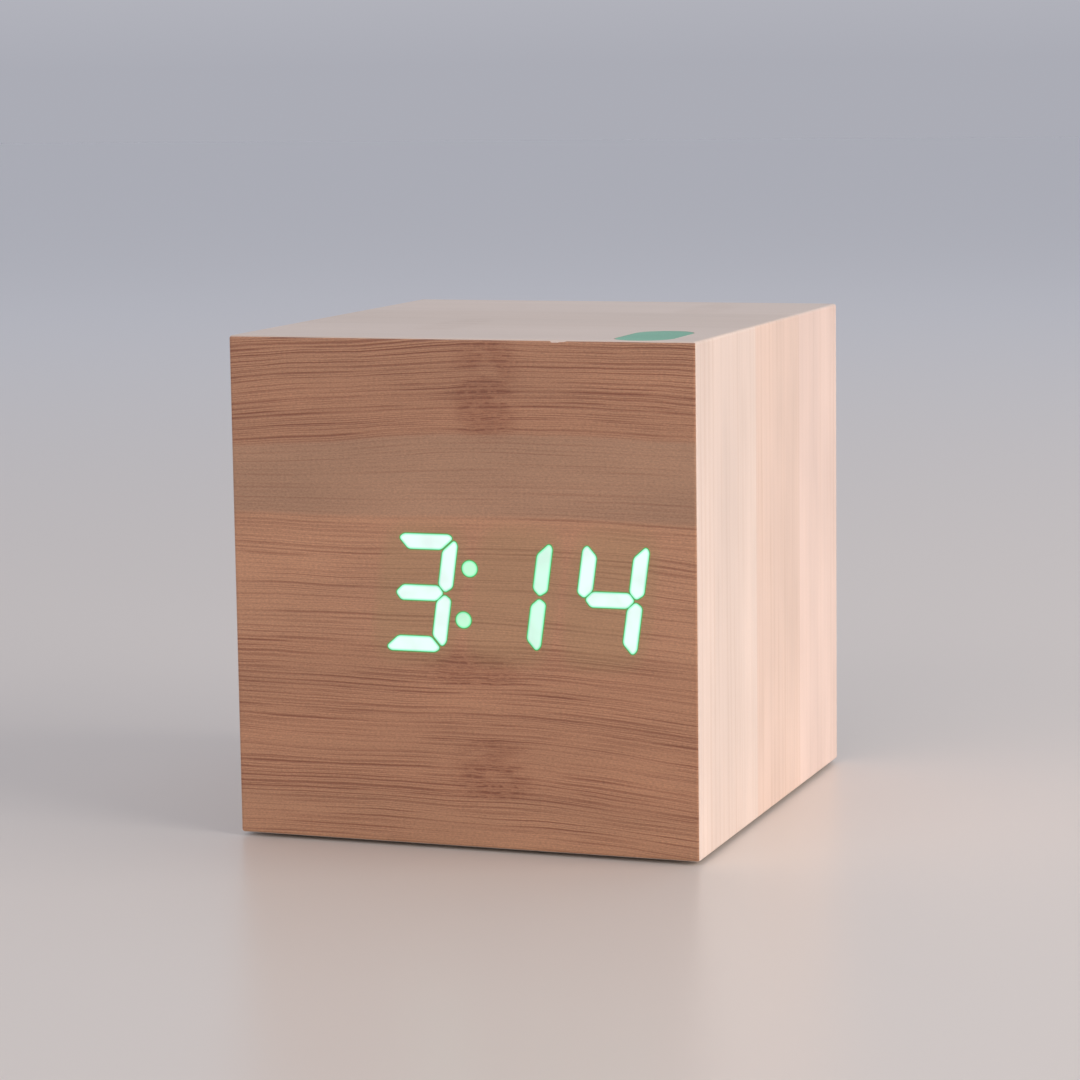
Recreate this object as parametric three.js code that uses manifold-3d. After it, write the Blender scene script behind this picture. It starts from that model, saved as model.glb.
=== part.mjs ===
// A block-shaped table clock: a veneered board case, a seven-segment LED module that shines through
// the front veneer, and a plastic rear cover with its keys, switch, socket and battery bay.
// Millimetres. +X is to the right seen from the front, -Y is the front, +Z is up, and z = 0 is the table.
import * as THREE from "three";
import { mergeVertices } from "three/addons/utils/BufferGeometryUtils.js";
import Module from "manifold-3d";

const wasm = await Module();
wasm.setup();

// ---- Driving dimensions ----

const width = 65;
const depth = 70;
const height = 68; // with the feet
const footHeight = 0.5;
const veneer = 0.5;
const boardThickness = 4;

const coverGap = 0.2; // between the rear cover and the case around it
const coverThickness = 2.4;
const coverRecess = 0.8; // how far the cover lies inside the rear edge
const plasticWall = 1.2;

const cellRadius = 5.25; // AAA
const cellLength = 44.5;
const cellPitch = 11;
const cellCount = 3;

const digitHeight = 15.7;
const digitWidth = 9.1;
const digitPitch = 13.2;
const segmentThickness = 2.05;
const digitSlant = Math.tan(THREE.MathUtils.degToRad(8));
const segmentGap = 0.09; // half the dark line between two neighbouring segments
const segmentChamfer = 1.3;
const colonRadius = 1.08;
const colonSpacing = 6.84;
const displayX = 0.8;
const displayZ = 34.4;

const keyRadius = 3;
const keyFlange = 0.9; // how far a key's flange stands out behind the cover
const keyTravel = 0.5;
const keyPitch = 10;
const knobTravel = 2;

const past = 1; // how far a cutting shape runs on past the face that it opens
const rooted = 0.5; // how far a shape is sunk into the one that it is joined to
const holeGap = 0.2; // around what passes through the cover
const soldered = 0.2; // how far a component reaches into its board

// ---- Places that follow from them ----

const low = { x: -width / 2, y: -depth / 2, z: footHeight };
const high = { x: width / 2, y: depth / 2, z: height };
const wall = veneer + boardThickness;
const inside = {
  left: low.x + wall,
  right: high.x - wall,
  front: low.y + wall,
  bottom: low.z + wall,
  top: high.z - wall,
};

const coverOuter = high.y - coverRecess;
const coverInner = coverOuter - coverThickness;

const bay = { left: -24.75, right: 24.75, bottom: inside.bottom + 2.6, floor: 21.3 };
bay.top = bay.bottom + cellCount * cellPitch;
const bayRib = { halfLength: 13, halfWidth: 0.4, height: 1.4 }; // between two cells, on the bay's floor
const cellClearance = 0.1;
const cellY = bay.floor + cellRadius + cellClearance;
const cellZ = (row) => bay.bottom + cellPitch * (row + 0.5);
const cellPlus = (row) => (row % 2 === 0 ? 1 : -1); // the end, along X, that holds the positive cap

// The sheet-metal contacts at the two ends of the bay, and the cone springs on them.
const contact = { thickness: 0.4, clearance: 0.05, cellGap: 0.05, front: 4.6, rear: 4.2, reach: 4.4 };
contact.face = bay.right - contact.clearance - contact.thickness; // towards the cells
const tab = { half: 1, end: bay.floor - 2.8, slotHalf: 1.3, slotDepth: 0.7 };
const coil = { base: 3.6, tip: 2.4, turns: 3.5, wire: 0.3, sunk: 0.1, gap: 0.4 };

const door = {
  left: bay.left - 0.45,
  right: bay.right + 0.45,
  bottom: bay.bottom - 0.4,
  top: bay.top + 0.5,
  thickness: 1.45,
};
const doorClearance = 0.2;
const ledgeDepth = 0.9; // what is left of the cover behind the rebate that the door lies in
const hook = {
  centres: [-14, 14],
  width: 6,
  thickness: 1,
  front: 30.4,
  bottom: bay.bottom - 1,
  rise: 0.2,
  gap: 0.2,
  lip: 0.3,
  slotSpare: 0.8,
};
const latch = { halfWidth: 5, depth: 2, low: 1.6, high: 0.4 };
const grip = { count: 4, halfLength: 6, depth: 0.35, width: 0.7, pitch: 1.5, start: 2.7 };
const thumbScoop = { radius: 5, depth: 0.9, rise: 1.6 };

const mainBoard = { rear: 25.5, thickness: 1.6, left: -26, right: 26, bottom: 44.2, top: 62 };
mainBoard.front = mainBoard.rear - mainBoard.thickness;
const keyZ = 56;
const keys = [
  { name: "set", x: -14.5 },
  { name: "up", x: -14.5 + keyPitch },
  { name: "down", x: -14.5 + 2 * keyPitch },
];
const switchHeight = 3.5; // of a switch's body over the board
const knob = { x: 14, z: keyZ, width: 2.4, height: 1.8, rear: coverOuter + 0.6, slotGap: 0.3, trackGap: 0.2 };
const socket = { x: 18.5, z: 48.4, radius: 2.9, half: 3.6, bore: 1.8, boreDepth: 7, pin: 0.55, recess: 0.4 };
const microphone = { x: 7, z: 48.4, radius: 3, hole: 1 };
const buzzer = { x: -12, z: 48.4, radius: 4, height: 4.5, mouth: 1.2, holeRing: 2.6, hole: 0.6 };
const backupCell = { x: 13.8, z: 51.8, radius: 6.25, thickness: 2, wall: 0.9, gap: 0.15, bed: 0.05 };
const cellHolder = { height: 3, floor: 0.8 };

const displayBoard = { front: inside.front + 0.1, thickness: 1.6, width: 53.4, height: 27 };
displayBoard.rear = displayBoard.front + displayBoard.thickness;
const displayMask = { width: 52, height: 18.4, front: low.y + veneer + 0.3, rear: inside.front, gap: 0.2 };
const filmClearance = 0.05;
const lamp = { half: 0.5, height: 0.7 };
const driverChip = { left: -6, right: 6, height: 1.8, bottom: 26, top: 33.5 };
const displayHeader = { left: -6, right: 6, height: 3, bottom: 41, top: 44 };
const mainChip = { left: -8, right: 4, height: 1.9, bottom: 48, top: 53 };
const crystal = { left: -6, right: 0, height: 1.7, bottom: 45.2, top: 46.8 };
const mainHeader = { left: -6, right: 6, height: 3, bottom: 56.5, top: 59.5 };

const cornerBlock = { size: 6.5, length: 12 };
const cleat = { x: 17, width: 6, front: 8, rear: 20, height: 16.5 };
const postPlaces = [
  [-23, 49],
  [23.4, 54.2],
];
const post = { shoulder: 2, stem: 1.2, head: 1.9, headHeight: 1, hole: 1.4, gap: 0.1 };
const coverScrewPlaces = [
  { name: "cover_screw_upper_left", x: -23.6, z: 59.1, seat: coverOuter - 1.4 },
  { name: "cover_screw_upper_right", x: 23.6, z: 59.1, seat: coverOuter - 1.4 },
  { name: "cover_screw_lower_left", x: -cleat.x, z: cellZ(0.5), seat: bay.floor },
  { name: "cover_screw_lower_right", x: cleat.x, z: cellZ(0.5), seat: bay.floor },
];
const displayScrewPlaces = [
  { name: "display_screw_upper_left", x: -24, z: 45.9 },
  { name: "display_screw_upper_right", x: 24, z: 45.9 },
  { name: "display_screw_lower_left", x: -24, z: 22.9 },
  { name: "display_screw_lower_right", x: 24, z: 22.9 },
];
const coverScrew = {
  shank: 1.15,
  head: 2,
  headHeight: 1,
  length: 10,
  pilot: 10.5,
  holeGap: 0.25,
  headGap: 0.4,
};
const displayScrew = { shank: 0.8, head: 1.6, headHeight: 0.9, length: 5, pilot: 4 };
const pilotGap = 0.1;
// A screw's form, in shares of its shank's radius, its head's radius or its head's height.
const screwForm = {
  point: 1.5,
  headSide: 0.5,
  crown: 0.7,
  recessLength: 0.6,
  recessWidth: 0.12,
  recessFloor: 0.4,
};

// The pill-shaped green spot, its long side along Y.
const topMark = { x: 24.2, y: -26.2, width: 7.8, length: 15.8, thickness: 0.2, gap: 0.1, bed: 0.02 };

// ---- Materials ----

const matt = (color, roughness = 0.6, metalness = 0) =>
  new THREE.MeshStandardMaterial({ color, roughness, metalness });
const materials = {
  bamboo: matt(0xc79a72, 0.45),
  fibreboard: matt(0x9a7550, 0.9),
  pine: matt(0xd9b98a, 0.8),
  blackPlastic: matt(0x1d1d1f, 0.55),
  keyPlastic: matt(0x2b2b2e, 0.5),
  whitePlastic: matt(0xe8e8e2, 0.5),
  maskPlastic: matt(0x15171a, 0.7),
  film: matt(0xf4f4ee, 0.4),
  circuitGreen: matt(0x1f6b3c, 0.4),
  steel: matt(0xb9bcc0, 0.35, 1),
  zinc: matt(0x8d9094, 0.4, 1),
  cellLabel: matt(0x2f5f8c, 0.35, 0.2),
  ribbonGrey: matt(0xa9abad, 0.5),
  redWire: matt(0xb3201b, 0.45),
  blackWire: matt(0x161616, 0.45),
  rubber: matt(0x2a2a2a, 0.9),
  greenFoil: matt(0x5aa583, 0.4),
};

// ---- Shape helpers ----

const box = (x0, x1, y0, y1, z0, z1) =>
  new THREE.BoxGeometry(x1 - x0, y1 - y0, z1 - z0).translate(
    (x0 + x1) / 2,
    (y0 + y1) / 2,
    (z0 + z1) / 2,
  );

// A round bar along Y.
const bar = (x, z, radius, y0, y1, sides = 20) =>
  new THREE.CylinderGeometry(radius, radius, y1 - y0, sides).translate(x, (y0 + y1) / 2, z);

// An upright round disc.
const disc = (x, y, radius, z0, z1, sides = 28) =>
  new THREE.CylinderGeometry(radius, radius, z1 - z0, sides)
    .rotateX(Math.PI / 2)
    .translate(x, y, (z0 + z1) / 2);

// A flat pill that lies along Y, grown by a gap all round.
function pill({ x, y, width: across, length }, gap, z0, z1) {
  const radius = across / 2;
  const reach = length / 2 - radius; // from the middle to the centre of a round end
  const outline = new THREE.Shape();
  outline.absarc(x, y + reach, radius + gap, 0, Math.PI, false);
  outline.absarc(x, y - reach, radius + gap, Math.PI, 2 * Math.PI, false);
  return new THREE.ExtrudeGeometry(outline, { depth: z1 - z0, bevelEnabled: false, curveSegments: 16 })
    .translate(0, 0, z0);
}

// A turned piece around Y: [radius, y] points from its low end to its high end.
const turned = (points, sides = 20) =>
  new THREE.LatheGeometry(
    points.map(([radius, y]) => new THREE.Vector2(radius, y)),
    sides,
  );

// An outline drawn in the XZ plane, as a slab from y0 to y1.
const slab = (outline, y0, y1) =>
  new THREE.ExtrudeGeometry(outline, { depth: y1 - y0, bevelEnabled: false, curveSegments: 8 })
    .applyMatrix4(new THREE.Matrix4().set(1, 0, 0, 0, 0, 0, -1, 0, 0, 1, 0, 0, 0, 0, 0, 1))
    .translate(0, y1, 0);

function solidOf(geometry) {
  const bare = geometry.clone();
  for (const name of Object.keys(bare.attributes)) {
    if (name !== "position") bare.deleteAttribute(name);
  }
  const merged = mergeVertices(bare, 1e-4);
  return new wasm.Manifold(
    new wasm.Mesh({
      numProp: 3,
      vertProperties: merged.attributes.position.array,
      triVerts: new Uint32Array(merged.index.array),
    }),
  );
}

function geometryOf(solid) {
  const mesh = solid.getMesh();
  return new THREE.BufferGeometry()
    .setAttribute("position", new THREE.BufferAttribute(mesh.vertProperties, 3))
    .setIndex(new THREE.BufferAttribute(mesh.triVerts, 1));
}

// Joins the added shapes to the first one, then cuts the others away.
function carve(base, added, cut) {
  let solid = solidOf(base);
  for (const shape of added) solid = solid.add(solidOf(shape));
  for (const shape of cut) solid = solid.subtract(solidOf(shape));
  return geometryOf(solid);
}

const clock = new THREE.Group();

function place(name, geometry, material) {
  const mesh = new THREE.Mesh(geometry, material);
  mesh.name = name;
  clock.add(mesh);
}

// ---- Case ----

// One side of the case between two depths under its surface, mitred where it meets the next sides.
// A board stops square behind, at y = rear, where the edge band covers it.
function caseSide(axis, side, outer, inner, rear = null) {
  const geometry = new THREE.BoxGeometry(1, 1, 1);
  const position = geometry.attributes.position;
  const corner = new THREE.Vector3();
  for (let i = 0; i < position.count; i += 1) {
    corner.fromBufferAttribute(position, i);
    const isRear = corner.y > 0;
    const inset = corner[axis] * side > 0 ? outer : inner;
    for (const k of ["x", "y", "z"]) {
      const end = k === axis ? side : Math.sign(corner[k]);
      corner[k] = end < 0 ? low[k] + inset : high[k] - inset;
    }
    if (rear !== null && isRear) corner.y = rear;
    position.setXYZ(i, corner.x, corner.y, corner.z);
  }
  return geometry;
}

function addCase() {
  const sides = { left: ["x", -1], right: ["x", 1], bottom: ["z", -1], top: ["z", 1] };
  const boardRear = high.y - veneer;
  for (const [name, [axis, side]] of Object.entries(sides)) {
    place(`${name}_panel`, caseSide(axis, side, veneer, wall, boardRear), materials.fibreboard);
    if (name !== "top") place(`${name}_veneer`, caseSide(axis, side, 0, veneer), materials.bamboo);
  }
  const markFloor = height - topMark.thickness;
  const markSeat = pill(topMark, topMark.gap, markFloor, height + past);
  place("top_veneer", carve(caseSide("z", 1, 0, veneer), [], [markSeat]), materials.bamboo);
  place("top_mark", pill(topMark, 0, markFloor + topMark.bed, height), materials.greenFoil);
  place("front_veneer", caseSide("y", -1, 0, veneer), materials.bamboo);

  const windowX = displayMask.width / 2 + displayMask.gap;
  const windowZ = displayMask.height / 2 + displayMask.gap;
  const window = box(
    displayX - windowX,
    displayX + windowX,
    low.y - past,
    inside.front + past,
    displayZ - windowZ,
    displayZ + windowZ,
  );
  const pilotStart = inside.front - displayScrew.pilot;
  const pilots = displayScrewPlaces.map(({ x, z }) =>
    bar(x, z, displayScrew.shank + pilotGap, pilotStart, inside.front + past, 12),
  );
  place(
    "front_panel",
    carve(caseSide("y", -1, veneer, wall), [], [window, ...pilots]),
    materials.fibreboard,
  );

  const rearOpening = box(inside.left, inside.right, 0, depth, inside.bottom, inside.top);
  place("rear_edge_band", carve(caseSide("y", 1, 0, veneer), [], [rearOpening]), materials.bamboo);
}

function addBlocks() {
  const pilot = ({ x, z, seat }) =>
    bar(x, z, coverScrew.shank + pilotGap, seat - coverScrew.pilot, coverOuter, 12);
  const [upperLeft, upperRight, lowerLeft, lowerRight] = coverScrewPlaces;
  const { size, length } = cornerBlock;
  const blockZ = inside.top - size;
  const blockY = coverInner - length;
  place(
    "corner_block_left",
    carve(
      box(inside.left, inside.left + size, blockY, coverInner, blockZ, inside.top),
      [],
      [pilot(upperLeft)],
    ),
    materials.pine,
  );
  place(
    "corner_block_right",
    carve(
      box(inside.right - size, inside.right, blockY, coverInner, blockZ, inside.top),
      [],
      [pilot(upperRight)],
    ),
    materials.pine,
  );
  for (const [name, screw] of Object.entries({ cleat_left: lowerLeft, cleat_right: lowerRight })) {
    const block = box(
      screw.x - cleat.width / 2,
      screw.x + cleat.width / 2,
      cleat.front,
      cleat.rear,
      inside.bottom,
      inside.bottom + cleat.height,
    );
    place(name, carve(block, [], [pilot(screw)]), materials.pine);
  }
}

function addFeet() {
  const footX = 24;
  const footY = 26;
  const footRadius = 4;
  for (const [across, x] of [["left", -footX], ["right", footX]]) {
    for (const [along, y] of [["front", -footY], ["rear", footY]]) {
      place(`foot_${along}_${across}`, disc(x, y, footRadius, 0, footHeight), materials.rubber);
    }
  }
}

// ---- Screws ----

// A pan-head screw with a cross recess, its head towards the rear and its head's underside at y = seat.
function screw(x, z, seat, { shank, head, headHeight, length }) {
  const tip = seat - length;
  const body = turned(
    [
      [0, tip],
      [shank, tip + screwForm.point * shank],
      [shank, seat],
      [head, seat],
      [head, seat + screwForm.headSide * headHeight],
      [screwForm.crown * head, seat + headHeight],
      [0, seat + headHeight],
    ],
    16,
  ).translate(x, 0, z);
  const long = screwForm.recessLength * head;
  const narrow = screwForm.recessWidth * head;
  const floor = seat + screwForm.recessFloor * headHeight;
  const open = seat + headHeight + past;
  const crossBars = [
    box(x - long, x + long, floor, open, z - narrow, z + narrow),
    box(x - narrow, x + narrow, floor, open, z - long, z + long),
  ];
  return carve(body, [], crossBars);
}

function addScrews() {
  for (const { name, x, z, seat } of coverScrewPlaces) {
    place(name, screw(x, z, seat, coverScrew), materials.zinc);
  }
  for (const { name, x, z } of displayScrewPlaces) {
    place(name, screw(x, z, displayBoard.rear, displayScrew), materials.zinc);
  }
}

// ---- Display ----

// The seven segments of one digit around its own centre, upright, as [x, z] outlines.
function segmentOutlines() {
  const half = segmentThickness / 2;
  const nodeX = digitWidth / 2 - half;
  const nodeZ = digitHeight / 2 - half;
  const chamfer = segmentChamfer;
  const gap = segmentGap;
  const tipGap = Math.SQRT2 * gap; // at a pointed end
  const shoulder = 0.7 * half; // how far the outer edge of an upright stops short of the middle
  const outerX = nodeX + half;
  const outerZ = nodeZ + half;
  const top = [
    [outerX - chamfer, outerZ],
    [outerX - chamfer / 2 - gap, outerZ - chamfer / 2 + gap],
    [nodeX - half - 2 * gap, nodeZ - half],
  ];
  const mirrorX = (points) => points.map(([x, z]) => [-x, z]).reverse();
  const mirrorZ = (points) => points.map(([x, z]) => [x, -z]).reverse();
  const topBar = [...mirrorX(top), ...top];
  const middleBar = [
    [nodeX - tipGap, 0],
    [nodeX - half, -half],
    [half - nodeX, -half],
    [tipGap - nodeX, 0],
    [half - nodeX, half],
    [nodeX - half, half],
  ];
  const upperRight = [
    [outerX - chamfer / 2 + gap, outerZ - chamfer / 2 - gap],
    [outerX, outerZ - chamfer],
    [outerX, shoulder + gap],
    [nodeX, tipGap],
    [nodeX - half, half + gap],
    [nodeX - half, nodeZ - half - 2 * gap],
  ];
  return [
    topBar,
    upperRight,
    mirrorZ(upperRight),
    mirrorZ(topBar),
    mirrorX(mirrorZ(upperRight)),
    mirrorX(upperRight),
    middleBar,
  ];
}

// Leans an upright outline and moves it to its digit's place on the face.
const onFace = (points, centreX) =>
  points.map(([x, z]) => [displayX + centreX + x + digitSlant * z, displayZ + z]);

const digitCentres = [-1.5, -0.5, 0.5, 1.5].map((step) => step * digitPitch);
const colonCentres = [-1, 1].map((side) => [
  displayX + (side * digitSlant * colonSpacing) / 2,
  displayZ + (side * colonSpacing) / 2,
]);

function addDisplay() {
  const halfWidth = displayMask.width / 2;
  const halfHeight = displayMask.height / 2;
  const cells = digitCentres.flatMap((centre) =>
    segmentOutlines().map((points) => onFace(points, centre)),
  );
  const segmentHoles = cells.map((points) =>
    slab(
      new THREE.Shape(points.map(([x, z]) => new THREE.Vector2(x, z))),
      low.y - past,
      inside.front + past,
    ),
  );
  const dotHoles = colonCentres.map(([x, z]) =>
    bar(x, z, colonRadius, low.y - past, inside.front + past, 16),
  );
  const maskBody = box(
    displayX - halfWidth,
    displayX + halfWidth,
    displayMask.front,
    displayMask.rear,
    displayZ - halfHeight,
    displayZ + halfHeight,
  );
  place("segment_mask", carve(maskBody, [], [...segmentHoles, ...dotHoles]), materials.maskPlastic);
  place(
    "diffuser_film",
    box(
      displayX - halfWidth,
      displayX + halfWidth,
      low.y + veneer + filmClearance,
      displayMask.front - filmClearance,
      displayZ - halfHeight,
      displayZ + halfHeight,
    ),
    materials.film,
  );

  const middle = (points) => [
    points.reduce((sum, [x]) => sum + x, 0) / points.length,
    points.reduce((sum, [, z]) => sum + z, 0) / points.length,
  ];
  const lamps = [...cells.map(middle), ...colonCentres].map(([x, z]) =>
    box(
      x - lamp.half,
      x + lamp.half,
      displayBoard.front - lamp.height,
      displayBoard.front + soldered,
      z - lamp.half,
      z + lamp.half,
    ),
  );
  const { rear } = displayBoard;
  const onRear = (part) =>
    box(part.left, part.right, rear - soldered, rear + part.height, part.bottom, part.top);
  const screwHoles = displayScrewPlaces.map(({ x, z }) =>
    bar(x, z, displayScrew.shank + pilotGap, displayBoard.front - past, displayBoard.rear + past, 12),
  );
  const board = box(
    -displayBoard.width / 2,
    displayBoard.width / 2,
    displayBoard.front,
    displayBoard.rear,
    displayZ - displayBoard.height / 2,
    displayZ + displayBoard.height / 2,
  );
  place(
    "display_board",
    carve(board, [...lamps, onRear(driverChip), onRear(displayHeader)], screwHoles),
    materials.circuitGreen,
  );
}

// ---- Rear cover and battery bay ----

function addRearCover() {
  const plate = box(
    inside.left + coverGap,
    inside.right - coverGap,
    coverInner,
    coverOuter,
    inside.bottom + coverGap,
    inside.top - coverGap,
  );
  const bayShell = box(
    bay.left - plasticWall,
    bay.right + plasticWall,
    bay.floor - plasticWall,
    coverInner + rooted,
    bay.bottom - plasticWall,
    bay.top + plasticWall,
  );
  // Posts that the main board is pushed over, with their ends melted to a head in front of it.
  const posts = postPlaces.flatMap(([x, z]) => [
    bar(x, z, post.shoulder, mainBoard.rear + post.gap, coverInner + rooted, 16),
    bar(x, z, post.stem, mainBoard.front - post.headHeight, mainBoard.rear + rooted, 16),
    bar(x, z, post.head, mainBoard.front - post.headHeight - post.gap, mainBoard.front - post.gap, 16),
  ]);
  const bayRoom = box(bay.left, bay.right, bay.floor, coverOuter + past, bay.bottom, bay.top);
  const ribs = [1, 2].map((row) => {
    const z = cellZ(row - 0.5);
    return box(
      -bayRib.halfLength,
      bayRib.halfLength,
      bay.floor - rooted,
      bay.floor + bayRib.height,
      z - bayRib.halfWidth,
      z + bayRib.halfWidth,
    );
  });
  const rebate = box(
    door.left - doorClearance,
    door.right + doorClearance,
    coverInner + ledgeDepth,
    coverOuter + past,
    door.bottom - doorClearance,
    door.top + doorClearance,
  );
  const slotMargin = 0.1; // past the bay's lower wall on each side
  const hookSlots = hook.centres.map((x) =>
    box(
      x - hook.width / 2 - hook.gap,
      x + hook.width / 2 + hook.gap,
      hook.front - hook.slotSpare,
      coverInner,
      bay.bottom - plasticWall - slotMargin,
      bay.bottom + slotMargin,
    ),
  );
  const scoop = bar(
    0,
    door.top + thumbScoop.rise,
    thumbScoop.radius,
    coverOuter - thumbScoop.depth,
    coverOuter + past,
    32,
  );
  const tabSlots = [
    [-1, 0],
    [1, 2],
  ].map(([side, row]) => {
    const ends = [side * bay.right, side * (bay.right - tab.slotDepth)];
    return box(
      Math.min(...ends),
      Math.max(...ends),
      bay.floor - 2 * past,
      bay.floor + past,
      cellZ(row) - tab.slotHalf,
      cellZ(row) + tab.slotHalf,
    );
  });
  const through = (x, z, radius, sides = 28) =>
    bar(x, z, radius, coverInner - past, coverOuter + past, sides);
  const keyHoles = keys.map(({ x }) => through(x, keyZ, keyRadius + holeGap));
  const knobSlot = box(
    knob.x - knob.width / 2 - knob.slotGap,
    knob.x + knobTravel + knob.width / 2 + knob.slotGap,
    coverInner - past,
    coverOuter + past,
    knob.z - knob.height / 2 - knob.slotGap,
    knob.z + knob.height / 2 + knob.slotGap,
  );
  const soundHoles = [0, 1, 2, 3, 4, 5].map((i) => {
    const angle = (i * Math.PI) / 3;
    const x = buzzer.x + buzzer.holeRing * Math.cos(angle);
    return through(x, buzzer.z + buzzer.holeRing * Math.sin(angle), buzzer.hole, 12);
  });
  const screwHoles = coverScrewPlaces.map(({ x, z }) =>
    bar(x, z, coverScrew.shank + coverScrew.holeGap, bay.floor - 2 * past, coverOuter + past, 16),
  );
  const headSeats = coverScrewPlaces
    .slice(0, 2)
    .map(({ x, z, seat }) => bar(x, z, coverScrew.head + coverScrew.headGap, seat, coverOuter + past, 24));

  const shell = carve(plate, [bayShell, ...posts], [bayRoom]);
  place(
    "rear_cover",
    carve(shell, ribs, [
      rebate,
      ...hookSlots,
      scoop,
      ...tabSlots,
      ...keyHoles,
      knobSlot,
      through(socket.x, socket.z, socket.radius + holeGap),
      through(microphone.x, microphone.z, microphone.hole, 16),
      through(buzzer.x, buzzer.z, buzzer.hole, 12),
      ...soundHoles,
      ...screwHoles,
      ...headSeats,
    ]),
    materials.blackPlastic,
  );
}

function addBatteryDoor() {
  const doorInner = coverOuter - door.thickness;
  const panel = box(door.left, door.right, doorInner, coverOuter, door.bottom, door.top);
  const hooks = hook.centres.flatMap((x) => [
    box(
      x - hook.width / 2,
      x + hook.width / 2,
      hook.front,
      doorInner + hook.rise,
      bay.bottom + hook.gap,
      bay.bottom + hook.gap + hook.thickness,
    ),
    box(
      x - hook.width / 2,
      x + hook.width / 2,
      hook.front,
      coverInner - hook.lip,
      hook.bottom,
      bay.bottom + rooted,
    ),
  ]);
  const tongue = box(
    -latch.halfWidth,
    latch.halfWidth,
    doorInner - latch.depth,
    doorInner + hook.rise,
    bay.top - latch.low,
    bay.top - latch.high,
  );
  const gripGrooves = [...Array(grip.count).keys()].map((i) => {
    const top = door.top - grip.start - grip.pitch * i;
    return box(
      -grip.halfLength,
      grip.halfLength,
      coverOuter - grip.depth,
      coverOuter + past,
      top - grip.width,
      top,
    );
  });
  place("battery_door", carve(panel, [...hooks, tongue], gripGrooves), materials.blackPlastic);
}

function addCells() {
  const cap = { radius: 1.9, height: 0.8 };
  const base = { flat: 3.4, rim: 3.7, step: 0.3 };
  const edge = { start: 0.6, rise: 0.8, shoulder: 1, neck: 0.9 }; // where the jacket turns in at each end
  const end = contact.face - contact.cellGap;
  const shoulder = end - cap.height;
  const start = end - cellLength;
  const profile = [
    [0, start],
    [base.flat, start],
    [base.rim, start + base.step],
    [cellRadius - edge.start, start + base.step],
    [cellRadius, start + edge.rise],
    [cellRadius, shoulder - edge.shoulder],
    [cellRadius - edge.neck, shoulder],
    [cap.radius, shoulder],
    [cap.radius, end],
    [0, end],
  ];
  for (let row = 0; row < cellCount; row += 1) {
    const geometry = turned(profile, 28)
      .rotateZ((-Math.PI / 2) * cellPlus(row))
      .translate(0, cellY, cellZ(row));
    place(`battery_cell_${row + 1}`, geometry, materials.cellLabel);
  }
}

class ConeCoil extends THREE.Curve {
  constructor(side, z, startX, endX) {
    super();
    Object.assign(this, { side, z, startX, endX });
  }

  getPoint(t, target = new THREE.Vector3()) {
    const radius = THREE.MathUtils.lerp(coil.base, coil.tip, t);
    const angle = 2 * Math.PI * coil.turns * t;
    return target.set(
      this.side * THREE.MathUtils.lerp(this.startX, this.endX, t),
      cellY + radius * Math.cos(angle),
      this.z + radius * Math.sin(angle),
    );
  }
}

const roundSection = (radius, sides) =>
  new THREE.Shape(
    [...Array(sides).keys()].map((i) => {
      const angle = (2 * Math.PI * i) / sides;
      return new THREE.Vector2(radius * Math.cos(angle), radius * Math.sin(angle));
    }),
  );

function addContacts() {
  const cellEnd = contact.face - contact.cellGap;
  const springTip = cellLength - cellEnd; // how far out the cell's flat end lies
  const sheet = (side, y0, y1, z0, z1) => {
    const faces = [side * contact.face, side * (contact.face + contact.thickness)];
    return box(Math.min(...faces), Math.max(...faces), y0, y1, z0, z1);
  };
  const plate = (side, z0, z1) => sheet(side, cellY - contact.front, cellY + contact.rear, z0, z1);
  const solderTab = (side, z) =>
    sheet(side, tab.end, cellY - contact.front + rooted, z - tab.half, z + tab.half);
  const spring = (side, row) =>
    new THREE.ExtrudeGeometry(roundSection(coil.wire, 6), {
      extrudePath: new ConeCoil(side, cellZ(row), contact.face + coil.sunk, springTip + coil.gap),
      steps: 50,
    });
  const { reach } = contact; // from a cell's axis to the plate's edge
  place(
    "negative_terminal",
    carve(plate(-1, cellZ(0) - reach, cellZ(0) + reach), [solderTab(-1, cellZ(0)), spring(-1, 0)], []),
    materials.steel,
  );
  place(
    "bridge_contact_right",
    carve(plate(1, cellZ(0) - reach, cellZ(1) + reach), [spring(1, 1)], []),
    materials.steel,
  );
  place(
    "bridge_contact_left",
    carve(plate(-1, cellZ(1) - reach, cellZ(2) + reach), [spring(-1, 2)], []),
    materials.steel,
  );
  place(
    "positive_terminal",
    carve(plate(1, cellZ(2) - reach, cellZ(2) + reach), [solderTab(1, cellZ(2))], []),
    materials.steel,
  );
}

// ---- Main board and controls ----

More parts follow.
